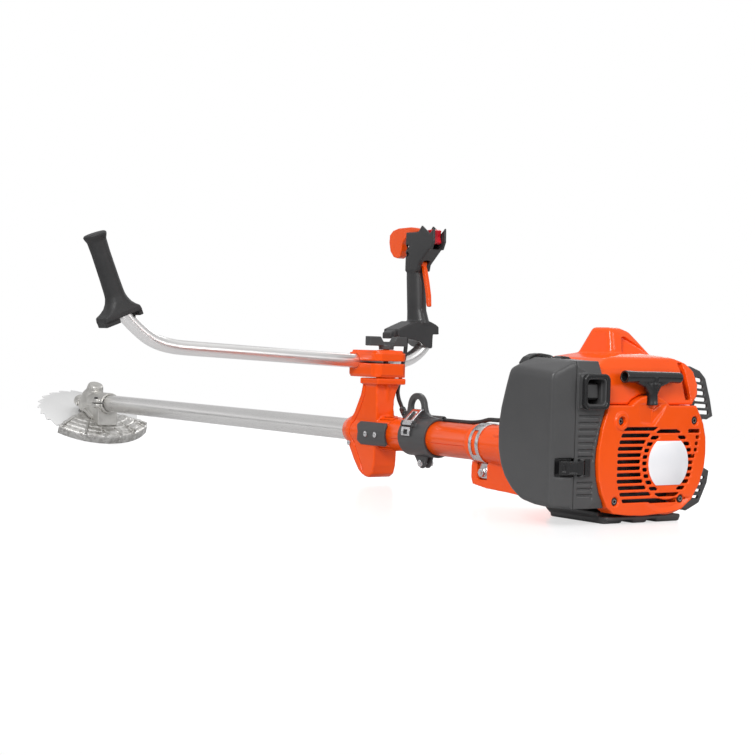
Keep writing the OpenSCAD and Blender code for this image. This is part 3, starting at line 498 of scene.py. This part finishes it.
# ------------------------------------------------------------------ moulded and cast shells
MELT = {
    "muffler_guard": (0.95, 4), "fuel_tank": (1.4, 12), "clutch_housing": (1.1, 5), "handle_post_rear": (1.25, 14),
    "handle_post_front": (1.25, 14), "post_pad": (0.7, 8), "clamp_lower": (0.9, 11), "clamp_upper": (0.9, 11),
    "clamp_knob": (0.8, 5), "left_grip": (0.8, 5), "throttle_trigger": (0.6, 9),
    "suspension_clamp": (0.7, 6),
    "choke_lever": (0.5, 5), "stop_switch": (0.4, 4),
}
for n, (vox, it) in MELT.items():
    o = cad_copy([n], n + "_look")
    if n == "muffler_guard":
        cut(o, [prism([(-72, 109 - 8.6 * i), (-114, 107 - 8.4 * i), (-114, 101.6 - 8.4 * i), (-72, 103.6 - 8.6 * i)], 31, 112, "x") for i in range(6)])
        cut(o, [prism([(-82 + 4.4 * i, -20.6 - 8.4 * i), (-110 + 3.4 * i, -20.6 - 8.4 * i), (-110 + 3.4 * i, -25.4 - 8.4 * i), (-80 + 4.4 * i, -25.4 - 8.4 * i)], 31, 112, "x") for i in range(4)])
    if n == "clamp_lower":
        add(o, [prism(rrect(609, 687, -30.5, 30.5, 9), 88.1, 92, "z")])
    if n in ("handle_post_rear", "handle_post_front"):
        cut(o, [prism([(-70, 27), (-13.4, 27), (-12, 40), (-13.9, 55), (-17.5, 65), (-20, 70), (-23, 74.5), (-70, 74.5)], 580, 668, "x")])
    if n == "left_grip":
        ang = [2 * math.pi * i / 48 for i in range(48)]
        keep(o, [loft([[grip_point(19.5 * math.cos(t), 19.5 * math.sin(t), w) for t in ang] for w in (17, 112)])])
        secs = [(22, 14.3, -14.3, 14.3, 14.2), (14, 14.9, -15, 15.2, 14.6), (7, 15.6, -16.6, 17.6, 14.4), (0, 16.4, -19.6, 22, 13), (-5, 17.2, -23, 27.5, 10), (-9, 18, -27, 34, 6), (-16, 18, -28, 35, 5)]
        foot = loft([[grip_point(a, b, w) for a, b in rrect(-hx, hx, y0, y1, r, n=8)] for w, hx, y0, y1, r in secs])
        add(o, [foot] + [loft([[grip_point(a, b, w) for a, b in rrect(-15, 15, y0, y1, 2, n=8)] for w in (-13, -23.5)]) for y0, y1 in ((10, 34.5), (-28, -21))])
    melt(o, vox, it)
    if n == "handle_post_rear":
        seam = [(652, 76), (652, 60), (668, 30), (684, 10), (686, -8), (672, -30), (656, -54), (645, -80)]
        for s in (1, -1):
            cut(o, [prism([(x - 2.6, z) for x, z in seam] + [(x + 1.2, z) for x, z in seam[::-1]], s * 18.6, s * 40, "y")])
    finish_piece(o, [n], SLOT[n])


def hull_balls(balls):
    """Convex hull of balls (x, y, z, r) in shaft-frame mm: a block with round edges."""
    bm = bmesh.new()
    for x, y, z, r in balls:
        for i in range(1, 12):
            th = math.pi * i / 12
            for k in range(24):
                ph = 2 * math.pi * k / 24
                bm.verts.new(P(x + r * math.sin(th) * math.cos(ph), y + r * math.sin(th) * math.sin(ph), z + r * math.cos(th)))
        bm.verts.new(P(x, y, z + r))
        bm.verts.new(P(x, y, z - r))
    res = bmesh.ops.convex_hull(bm, input=bm.verts)
    dead = {v for v in res["geom_interior"] + res["geom_unused"] if isinstance(v, bmesh.types.BMVert)}
    bmesh.ops.delete(bm, geom=[v for v in dead if v.is_valid], context="VERTS")
    loose = [v for v in bm.verts if not v.link_faces]
    bmesh.ops.delete(bm, geom=loose, context="VERTS")
    bmesh.ops.recalc_face_normals(bm, faces=bm.faces)
    return from_bm("tmp", bm)


def scaled(pts, c, k):
    return [(c[0] + (p[0] - c[0]) * k, c[1] + (p[1] - c[1]) * k) for p in pts]


def wedge(pts_out, pts_in):
    """Closed solid between two outlines with the same number of points."""
    bm = bmesh.new()
    A = [bm.verts.new(P(*p)) for p in pts_out]
    B = [bm.verts.new(P(*p)) for p in pts_in]
    n = len(A)
    bm.faces.new(A)
    bm.faces.new(B[::-1])
    for i in range(n):
        bm.faces.new((A[i], B[i], B[(i + 1) % n], A[(i + 1) % n]))
    bmesh.ops.recalc_face_normals(bm, faces=bm.faces)
    return from_bm("tmp", bm)


def trim(name, body, key, objs, vox=None, it=4):
    """A small visual piece: joined solids, riding on a body."""
    o = objs[0]
    if len(objs) > 1:
        add(o, objs[1:])
    if vox:
        melt(o, vox, it)
    o.name = name
    o.data.name = name
    paint(o, key)
    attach(o, body)
    return o


# ---- engine top cover with the hump over the spark plug
top_pts = [(103, 73.5), (108, 92), (112, 112), (108, 124), (96, 131), (60, 137), (20, 138), (-24, 134), (-46, 127), (-57, 116), (-62, 100), (-60, 86), (-48, 73.5)]
top_side = [(4, 60), (10, 90), (15, 118), (22, 132), (38, 140), (112, 140), (122, 132), (126, 116), (126, 60)]
cover = prism(top_pts, 1, 127, "x")
keep(cover, [prism(top_side, -90, 130, "y")])
hump = hull_balls([(50, -12, 127, 6), (104, -10, 127, 6), (52, 54, 127, 8), (108, 55, 127, 9),
                   (57, 2, 141, 6), (98, 2, 141, 6), (60, 12, 152, 6), (92, 12, 152, 6), (62, 22, 160.5, 6), (88, 22, 160.5, 6),
                   (62, 36, 164.6, 6), (86, 36, 164.6, 6), (60, 51, 164.6, 6), (86, 52, 164.6, 6)])
add(cover, [hump])
cut(cover, [rod((13, 0, 0), (140, 0, 0), 86.5, seg=180), rod((-5, 33, 37), (27, 33, 37), 49.4, seg=140)])
melt(cover, 1.5, 12)
inner = prism(scaled(top_pts, (25, 60), 0.93), 8, 121, "x")
keep(inner, [prism([(x + 5, z - 5) for x, z in top_side], -90, 130, "y")])
cut(cover, [
    inner, hull_balls([(60, 10, 128, 4), (96, 10, 128, 4), (60, 48, 128, 4), (96, 48, 128, 4), (66, 40, 158, 3), (78, 40, 158, 3)]),
    box((12, -44, 60), (122, 92, 80)),
    # deep slot at the right
    prism([(-30.5, 127), (-38.5, 127), (-46, 80), (-36, 80)], -2, 24, "x"),
    # recessed facet on the back of the hump
    wedge([(40, 43.5, 131.5), (40, 38.5, 159.5), (40, 31, 160), (40, 4, 146), (40, -9, 134)], [(51.5, 42.6, 134), (59.0, 37.6, 157.5), (58.4, 31, 158), (51.2, 4, 145), (47.5, -6, 135)]),
    # channel of the starter rope
    rod((1, 31, 60), (1, 31, 93), 8.9),
])
add(cover, [prism([(-24, 133), (-50, 124.5), (-58.5, 110), (-57.5, 90), (-50, 80), (-26, 80)], 23.6, 26.4, "x")])
melt(cover, 0.95, 3)
finish_piece(cover, ["engine_cover"], SLOT["engine_cover"])

# ---- starter cover
st = cad_copy(["starter_cover"], "starter_cover_look")
back = rod((2.7, 0, 0), (5.2, 0, 0), 66, seg=120)
cut(back, [box((-3, -90, -51), (8, 90, 90)), rod((1, 89.9, -46.8), (8, 89.9, -46.8), 8), rod((1, -25.3, -46.5), (8, -25.3, -46.5), 8)])
plate = prism([(58, 78), (2, 78), (2, 62), (24, 47), (58, 47)], 2.7, 6.4, "x")
add(st, [back, plate])
dish = rod((-0.4, 0, 0), (2.6, 0, 0), 64.5, 57, seg=160)
cut(dish, [box((-3, -90, -44.5), (6, 90, 90)), rod((-4, 0, 0), (6, 0, 0), 46.5, seg=120)])
cut(st, [rod((-3, y, z), (2.0, y, z), 6.0, seg=40) for y, z in ((83.5, 53.3), (-46.6, 53.7), (89.9, -46.8), (-25.3, -46.5))])
cut(st, [
    dish,
    # fold lines under the starter handle
    wedge([(-0.5, 57, 76), (-0.5, 28.4, 76), (-0.5, 27, 46.8), (-0.5, 53, 49.5)], [(0.1, 55, 75), (3.6, 28.6, 73), (3.6, 27.2, 49.2), (0.1, 51, 51)]),
    wedge([(-0.5, 28.6, 76), (-0.5, 2, 77), (-0.5, 6, 70), (-0.5, 27.2, 46.8)], [(3.6, 28.2, 73), (0.1, 4, 76), (0.1, 8, 70), (3.6, 27.2, 49.6)]),
    wedge([(-1, 24, 66), (-1, 12, 76), (-1, 36, 76), (-1, 34, 70)], [(5, 25, 68), (5, 15, 75), (5, 34, 75), (5, 33, 70)]),
])
melt(st, 0.85, 4)
finish_piece(st, ["starter_cover"], SLOT["starter_cover"])

# ---- dark air baffle behind the starter slots
cover_out = [(105, 73), (108, 62), (114, 44), (119, 20), (120, 2), (118, -20), (112, -38), (103, -54), (92, -62), (66, -65),
             (40, -66), (0, -64), (-26, -60), (-44, -48), (-58, -28), (-66, -6), (-68, 12), (-67, 32), (-62, 50), (-55, 62), (-48, 73)]
baf = prism(scaled(cover_out, (25, 4), 0.925), 20.4, 22.4, "x")
cut(baf, [rod((18, y, z), (25, y, z), 7.8, seg=40) for y, z in ((83.5, 53.3), (-46.6, 53.7), (89.9, -46.8), (-25.3, -46.5))] + [rod((18, 0, 0), (25, 0, 0), 8, seg=40)])
trim("air_baffle", "chassis", "black_plastic", [baf])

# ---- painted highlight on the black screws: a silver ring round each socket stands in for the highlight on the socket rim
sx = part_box("cover_screws")[0].x * 1000 + OX
for i, (y, z) in enumerate([(83.5, 53.3), (-46.6, 53.7), (89.9, -46.8), (-25.3, -46.5)]):
    # silver ring painted where the rim of the black screw's socket catches a highlight
    ring = rod((sx - 0.3, y, z), (sx + 0.25, y, z), 2.75, seg=36)
    cut(ring, [prism([(y + (2.3 if k % 2 == 0 else 1.8) * math.cos(math.radians(30 * k)), z + (2.3 if k % 2 == 0 else 1.8) * math.sin(math.radians(30 * k))) for k in range(12)], sx - 1, sx + 0.5, "x")])
    trim("screw_socket_%d" % (i + 1), BODY["cover_screws"], "machined_steel", [ring])

# ---- starter handle: thick bar with a hollow end on a flared stem
def bar_r(t):
    end = min(1.0, math.sqrt(max(0.0, 1 - max(0.0, (t - 0.965) / 0.035) ** 2)))
    return (8.1 - 1.0 * min(1, t * 3)) * (0.55 + 0.45 * end) if t > 0.9 else 8.1 - 1.0 * min(1, t * 3)


hd = tube("tmp", [(1, 80.5, 108.7), (1, 60, 108.7), (1, 31, 108.9), (1, 5, 108.7), (1, -18.3, 108.3)], bar_r, seg=40, per=14)
stem = tube("tmp", [(1, 31, 73.2), (1, 31, 80), (1, 31, 92), (1, 31, 100), (1, 31, 108)], lambda t: 7.9 - 1.1 * math.sin(math.pi * min(1, t * 1.3)) if t < 0.77 else 7.4, seg=40)
add(hd, [stem, hull_balls([(1, 8, 105, 5.2), (1, 56, 105, 5.2), (1, 18, 100.4, 4.4), (1, 46, 100.4, 4.4)]), hull_balls([(1, 21, 100.5, 5), (1, 42, 100.5, 5), (1, 31, 88, 6.4)])])
cut(hd, [rod((1, 66, 108.7), (1, 82, 108.7), 5.4, seg=40)])
melt(hd, 0.7, 14)
add(hd, [rod((7, 31, -37.8), (7, 31, 78), 1.5, seg=16)])
finish_piece(hd, ["starter_handle"], "black_plastic")

# ---- air filter cover: one large rounded moulding
filt_pts = [(10, 127), (84, 130), (97, 127), (106, 104), (112, 80), (118, 43), (117, 12), (111, -8), (103, -22), (88, -37), (69, -49), (46, -53), (6, -55), (3, -40), (3, 100)]
fc = cad_copy(["filter_cover"], "filter_cover_look")
melt(fc, 1.6, 26, 0.6)
bc = lambda y: 4 + (y - 119) * 9 / 68.0
rim = cad_copy(["filter_cover"], "tmp_rim")
keep(rim, [box((-20, 140, -80), (140, 156, 140))])
add(fc, [rim])
slotbox = prism([(bc(140) - 6, 150.2), (bc(150) + 6.5, 150.2), (bc(179) + 5, 180.5), (bc(180) - 6, 180.5)], -14.6, 7.2, "z")
cut(fc, [
    slotbox,
    # chamfer along the top and the groove of the hook
    prism([(88, 150), (104, 150), (104, 192), (88, 192)], 127.2, 140, "z"),
])
melt(fc, 0.95, 4)
finish_piece(fc, ["filter_cover"], SLOT["filter_cover"])
# thin black sheet on the deep wall of the latch recess: painted shade inside the grey pocket
pocket_shade_sheet = prism([(bc(150) + 4.9, 150.8), (bc(150) + 6.4, 150.8), (bc(179) + 4.8, 180.2), (bc(179) + 3.3, 180.2)], -14.4, 7.0, "z")
trim("latch_pocket_painted_shade", BODY["filter_cover"], "black_plastic", [pocket_shade_sheet], 0.6, 2)
hook = prism([(166, 119), (167, 122.5), (161, 129.5), (151, 133.8), (142, 134.9), (133, 134.2), (127, 131.6), (127, 127.4), (133, 129.0), (142, 129.4), (150, 128), (157.5, 123.6), (161.5, 119)], 89, 102, "x")
trim("cover_hook_front", BODY["filter_cover"], "black_plastic", [hook], 0.7, 6)
hook2 = prism([(144, 126.5), (143, 130), (138, 132.2), (127, 131.4), (122, 128.4), (122, 126), (132, 128)], 52, 66, "x")
trim("cover_hook_rear", BODY["filter_cover"], "black_plastic", [hook2], 0.7, 5)
rail = tube("tmp", [(88, 146, 125), (85, 146, 130.4), (80, 145, 131.8), (74, 144, 131.6), (69, 142, 130.4), (66, 141, 127)], 2.2, seg=16)
trim("filter_top_rail", BODY["filter_base"], "black_plastic", [rail, box((68, 132, 127.0), (88, 147, 130.4))], 0.7, 4)

lt = prism([(6, 143), (6.9, 149), (8.3, 160), (10.8, 173), (9.6, 176.5), (6.4, 175.5), (3.6, 161), (2.0, 149), (1.6, 144), (3, 141), (6, 141.4)], -12.4, 4.4, "z")
add(lt, [rod((4.5, 143, -12.4), (4.5, 143, 4.4), 2.6)])
cut(lt, [rod((4.5, 143, -16), (4.5, 143, 8), 1.3),
         prism([(0, 151), (3.3, 152), (5.0, 163.5), (2.5, 166)], -10.2, 2.2, "z"), prism([(3, 169), (6.4, 168.2), (7.6, 173.4), (5, 175)], -8.4, 0.4, "z")])
melt(lt, 0.4, 4)
finish_piece(lt, ["cover_latch"], "black_plastic")
for i, z in enumerate((-14.6, 4.9)):
    brk = prism([(bc(130) - 1.6, 130), (bc(140) - 3.4, 139), (bc(146) - 3.4, 147), (bc(147) + 1, 148), (bc(130) + 1, 129)], z, z + 2.1, "z")
    trim("latch_bracket_%d" % i, "chassis", "black_plastic", [brk], 0.4, 3)
brk = prism([(bc(130) - 1.6, 130), (bc(139) - 3.2, 138.6), (bc(139.6) + 1, 139.6), (bc(130) + 1, 129)], -14, 6.6, "z")
trim("latch_bracket_2", "chassis", "black_plastic", [brk], 0.4, 3)

# ---- air filter base: rear band with short ribs, choke surround
fb = cad_copy(["filter_base"], "filter_base_look")
grooves = []
edge = lambda z: 110 if z > 58 else (110 + (60 - z) * 0.28 if z > 20 else 121.0)
zs = [58 - 8.4 * k for k in range(7)] + [-24 - 7.6 * k for k in range(3)]
for z in zs:
    y0, y1 = edge(z) + 3.5, 147.5
    grooves.append(prism([(-5, y0), (bc(y0) + 2.2, y0), (bc(y1) + 2.2, y1), (-5, y1)], z, z + 2.5, "z"))
    grooves.append(prism([(-5, y0), (bc(y0) + 2.0, y0), (bc(y0 + 2.4) + 2.0, y0 + 2.4), (-5, y0 + 2.4)], z - 4.0, z + 0.5, "z"))
cut(fb, [box((-8, 100, 60), (3.45, 150.5, 115))])
cut(fb, grooves)
bez = prism(rrect(108.4, 149.6, 68.2, 111.0, 8.0), -3, 9.5, "x")
cut(bez, [prism(rrect(114.8, 143.8, 74.4, 104.8, 4.5), -8, 14, "x"), box((3.4, 100, 60), (12, 113.3, 120))])
bezel_ring = prism(rrect(107.8, 150.2, 67.6, 111.6, 8.4), -4.6, 1.4, "x")
cut(bezel_ring, [prism(rrect(113.0, 145.2, 72.6, 106.4, 5.2), -8, 14, "x")])
trim("choke_bezel", BODY["filter_base"], "black_plastic", [bezel_ring], 0.7, 6)
add(fb, [bez])
cut(fb, [rod((26, 100, 89), (26, 150, 89), 2.1)])
melt(fb, 0.8, 4)
finish_piece(fb, ["filter_base"], SLOT["filter_base"])

# ---- throttle handle: moulded body with its seam, pin heads and the two holes
th = cad_copy(["throttle_handle"], "throttle_handle_look")
hy = -89
add(th, [rod((x, hy + s * 12.2, z), (x, hy + s * 13.4, z), 3.0, seg=32) for x, z in ((679, 312), (654, 274), (634, 317)) for s in (1, -1)])
cut(th, [prism([(-140, 128), (-108, 128), (-109, 159.4), (-140, 159.4)], 640, 700, "x"), box((686.4, hy - 20, 255), (700, hy + 20, 330))])
melt(th, 1.0, 12)
cut(th, [
    prism([(665.5, 150), (666.5, 150), (668.5, 196), (672.5, 270), (673, 330), (672, 330), (671.5, 270), (667.5, 196)], hy + 9.5, hy + 22, "y"),
    rod((681.4, hy + 6, 301.6), (681.4, hy + 16, 301.6), 4.5, seg=28), rod((680.8, hy + 6, 289.8), (680.8, hy + 16, 289.8), 4.3, seg=28),
])
melt(th, 0.7, 2)
finish_piece(th, ["throttle_handle"], "handle_plastic")
lk = prism([(651, 270), (657, 270), (655, 262), (648.5, 241), (643.2, 222), (641.2, 208), (638.4, 203.6), (634.6, 205), (636, 222), (641.4, 243), (648, 264)], hy - 5.4, hy + 1.0, "y")
add(lk, [rod((654, hy - 5, 274), (654, hy + 5, 274), 4.5)])
melt(lk, 0.5, 6)
finish_piece(lk, ["throttle_lockout"], SLOT["throttle_lockout"])
lug = hull_balls([(676, -40, 158, 4.2), (664, -40, 158, 4.2), (676, -33, 155, 4.2), (664, -33, 155, 4.2)])
cut(lug, [rod((670, -50, 157), (670, -20, 157), 2.2), rod((650, -36, 157), (690, -36, 157), 1.6)])
trim("handle_lug", "bar", "cast_aluminium", [lug], 0.4, 3)

# ---- handlebar and cables, smooth sweeps
bar_left = [(32, 113), (90, 115.3), (180, 119.3), (270, 123.3), (340, 126.4), (362, 128.4), (380, 132), (396, 138), (410, 146.5), (424, 157.5), (435, 167.5), (443, 176.5), (449, 186), (454, 197), (462, 217), (474, 247), (484.5, 273)]
bar_right = [(-32, 113), (-50, 113.6), (-64, 115.5), (-76, 119.5), (-87, 125.8), (-96, 133), (-103, 141), (-107, 150), (-107.5, 160), (-104, 170), (-98, 180), (-93.5, 191), (-91, 204)]
BARX, BARR = 665.0, 11.0
pts = [(BARX, y, z) for y, z in bar_right[::-1]] + [(BARX, -16, 113), (BARX, 0, 113), (BARX, 16, 113)] + [(BARX, y, z) for y, z in bar_left]
hb = tube("handlebar_look", pts, BARR, seg=48, per=6)
finish_piece(hb, ["handlebar"], "bar_aluminium")

cable_a = [(655.4, -60.6, 151.5), (655, -60, 146.6), (653.5, -58.5, 143), (648, -54, 134), (642, -48, 122), (638.5, -42, 108), (637, -38.5, 98), (636.3, -37.1, 89.5), (636.15, -37, 88.3)]
cable_b = [(636.1, -36.9, 88.2), (635.5, -35.6, 83), (634, -32, 74), (631, -28.8, 64), (625, -27.2, 53), (615, -25, 43.5), (604, -21, 36), (594, -17, 31.5), (584, -13.4, 29), (572, -11.3, 27.8), (560, -11, 27.6),
           (545, -11, 27.6), (520, -11, 27.6), (470, -11, 27.6), (420, -11, 27.8), (396, -11, 30), (384, -11, 32.5),
           (372, -10, 34.5), (350, -8, 35), (330, -4, 37), (300, 6, 43), (250, 22, 56), (200, 38, 64), (160, 48, 65), (130, 55, 66), (108, 60, 66)]
ca = tube("cable_upper_look", cable_a, 3.3, seg=20, per=5)
paint(ca, "cable_jacket")
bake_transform(ca)
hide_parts("cable_upper")
cb = tube("cable_lower_look", cable_b, 3.2, seg=20, per=5)
paint(cb, "cable_jacket")
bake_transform(cb)
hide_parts("cable_lower")
boot = tube("tmp", [(608, -22.4, 38.6), (604, -21, 36), (594, -17, 31.5), (588, -14.8, 30)], lambda t: 4.6 + 0.6 * t + 0.5 * math.cos(2 * math.pi * 5 * t), seg=28, per=16)
trim("cable_boot", "chassis", "black_plastic", [boot])

gb = cad_copy(["gearbox"], "gearbox_look")
melt(gb, 1.0, 8)
cut(gb, [box((1612, 10, -1.2), (1668, 40, 1.2)), box((1612, -40, -1.2), (1668, -10, 1.2)), rod((1600, 0, 0), (1673, 0, 0), 17.55, seg=80)])
melt(gb, 0.8, 2)
finish_piece(gb, ["gearbox"], SLOT["gearbox"])

# ---- catch of the harness clamp: pressed strip with a window, and its keeper
ct = prism([(27.6, 18.4), (30.6, 18.4), (31.2, 21.4), (28, 26), (20, 34.2), (11, 42.4), (6.8, 42.6), (6.8, 40.4), (9.6, 40.2), (18.8, 32), (25.6, 24.4)], 512, 534.5, "x")
add(ct, [rod((512, 29, 20), (534.5, 29, 20), 2.4)])
cut(ct, [box((517.2, 0, 24.6), (529.3, 27.5, 38.6)), rod((505, 29, 20), (540, 29, 20), 1.3)])
melt(ct, 0.4, 3)
finish_piece(ct, ["suspension_catch"], SLOT["suspension_catch"])
kp = prism([(30.9, 15.6), (32.4, 15.6), (33.6, 8), (33.2, 2), (31.8, 2), (31.0, 8)], 512.5, 534, "x")
cut(kp, [box((518, 25, 4.4), (528.5, 40, 11.6))])
trim("catch_keeper", "hanger", "zinc_steel", [kp], 0.35, 2)

# ---- cast guard: terraces, rim and ribs
def G(x, y, z):
    return (GX + x * math.cos(GA) - z * math.sin(GA), y, x * math.sin(GA) + z * math.cos(GA))


prof = [(127, -36), (127, -22), (125.6, -18.6), (121, -17), (113.5, -16), (111.8, -13.8), (99, -13.4), (97.4, -11.9), (83.5, -11.6), (82, -10.2), (69, -10), (66.5, -12), (32, -12), (32, -15),
        (66, -15), (100, -16.4), (118, -20.4), (123.4, -25), (124, -36)]
bm = bmesh.new()
rings = []
N = 54
for i in range(N + 1):
    a = math.radians(180 - 54 + 108 * i / N)
    rings.append([bm.verts.new(P(*G(r * math.cos(a), r * math.sin(a), z))) for r, z in prof])
for a, b in zip(rings, rings[1:]):
    for k in range(len(prof)):
        k2 = (k + 1) % len(prof)
        bm.faces.new((a[k], b[k], b[k2], a[k2]))
bm.faces.new(rings[0])
bm.faces.new(rings[-1][::-1])
bmesh.ops.recalc_face_normals(bm, faces=bm.faces)
gd = from_bm("tmp", bm)


def gbox(ang, r0, r1, w, z0, z1, w1=None):
    """Radial rib in the guard's frame."""
    a = math.radians(ang)
    c, s = math.cos(a), math.sin(a)
    w1 = w if w1 is None else w1
    q = lambda r, t, z: G(r * c - t * s, r * s + t * c, z)
    return wedge([q(r0, -w, z0), q(r0, w, z0), q(r0, w, z1), q(r0, -w, z1)], [q(r1, -w1, z0), q(r1, w1, z0), q(r1, w1, z1), q(r1, -w1, z1)])


ribs = [gbox(180 + k, 68, 126, 2.2, -16, -9.7 if abs(k) > 24 else -10.4, 2.6) for k in (-50, -27, 27, 50)]
ribs += [gbox(180 + k, 100, 126.4, 2.4, -18, -12.0, 3.0) for k in (-9, 9)]
ribs += [gbox(180 + k, 120, 128.3, 2.6, -34, -19) for k in (-50, -27, -9, 9, 27, 50)]
add(gd, ribs)
cut(gd, [wedge([G(-48 + 3 * math.cos(t), s * 20 + 3 * math.sin(t), -40) for t in [2 * math.pi * k / 24 for k in range(24)]],
              [G(-48 + 3 * math.cos(t), s * 20 + 3 * math.sin(t), -5) for t in [2 * math.pi * k / 24 for k in range(24)]]) for s in (1, -1)])
melt(gd, 0.85, 4)
finish_piece(gd, ["blade_guard"], SLOT["blade_guard"])

# ---- rear tube with its side seam
rt = cad_copy(["rear_tube"], "rear_tube_look")
cut(rt, [box((388, 24.2, -5.6), (476, 30, -4.8)), box((550, 24.2, -5.6), (580, 30, -4.8))])
bv = rt.modifiers.new("edges", "BEVEL")
bv.width, bv.segments, bv.limit_method, bv.angle_limit, bv.harden_normals = 0.0005, 2, "ANGLE", math.radians(30), True
rt.data.shade_smooth()
finish_piece(rt, ["rear_tube"], SLOT["rear_tube"])

# ------------------------------------------------------------------ floor
z0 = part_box("fuel_tank")[0].z
z1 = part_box("blade_guard")[0].z
x0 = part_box("fuel_tank")[1].x
x1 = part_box("blade_guard")[0].x
bm = bmesh.new()
bmesh.ops.create_grid(bm, x_segments=2, y_segments=2, size=3.2)
fl = from_bm("floor", bm)
slope = math.atan2(z1 - z0, x1 - x0)
fl.rotation_euler = (0, -slope, 0)
fl.location = (x0, 0, z0 - 0.0003)
mf, tf, bf = nt("floor_pale")
vv = coords(tf)
tf.links.new(ramp(tf, noise(tf, vv, 3, 2), [(0.3, (0.52, 0.52, 0.525)), (0.7, (0.54, 0.54, 0.545))]), bf.inputs["Base Color"])
bf.inputs["Roughness"].default_value = 0.22
bf.inputs["Emission Color"].default_value = (1, 1, 1, 1)
lpf = tf.nodes.new("ShaderNodeLightPath")
ems = tf.nodes.new("ShaderNodeMapRange")
ems.inputs["To Min"].default_value = 0.05
ems.inputs["To Max"].default_value = 0.62
tf.links.new(lpf.outputs["Is Camera Ray"], ems.inputs["Value"])
tf.links.new(ems.outputs["Result"], bf.inputs["Emission Strength"])
trn = tf.nodes.new("ShaderNodeBsdfTransparent")
mxs = tf.nodes.new("ShaderNodeMixShader")
lenn = tf.nodes.new("ShaderNodeVectorMath")
lenn.operation = "LENGTH"
tcf = tf.nodes.new("ShaderNodeTexCoord")
mpf = tf.nodes.new("ShaderNodeMapping")
mpf.inputs["Location"].default_value = (-0.75, 0, 0)
mpf.inputs["Scale"].default_value = (0.8, 1, 1)
tf.links.new(tcf.outputs["Object"], mpf.inputs["Vector"])
tf.links.new(mpf.outputs["Vector"], lenn.inputs[0])
fade = tf.nodes.new("ShaderNodeMapRange")
fade.interpolation_type = "SMOOTHSTEP"
for k, v in (("From Min", 0.75), ("From Max", 1.9), ("To Min", 0.0), ("To Max", 1.0)):
    fade.inputs[k].default_value = v
tf.links.new(lenn.outputs["Value"], fade.inputs["Value"])
tf.links.new(fade.outputs["Result"], mxs.inputs["Fac"])
outn = [n for n in tf.nodes if n.type == "OUTPUT_MATERIAL"][0]
tf.links.new(bf.outputs[0], mxs.inputs[1])
tf.links.new(trn.outputs[0], mxs.inputs[2])
tf.links.new(mxs.outputs[0], outn.inputs["Surface"])
fl.data.materials.append(mf)
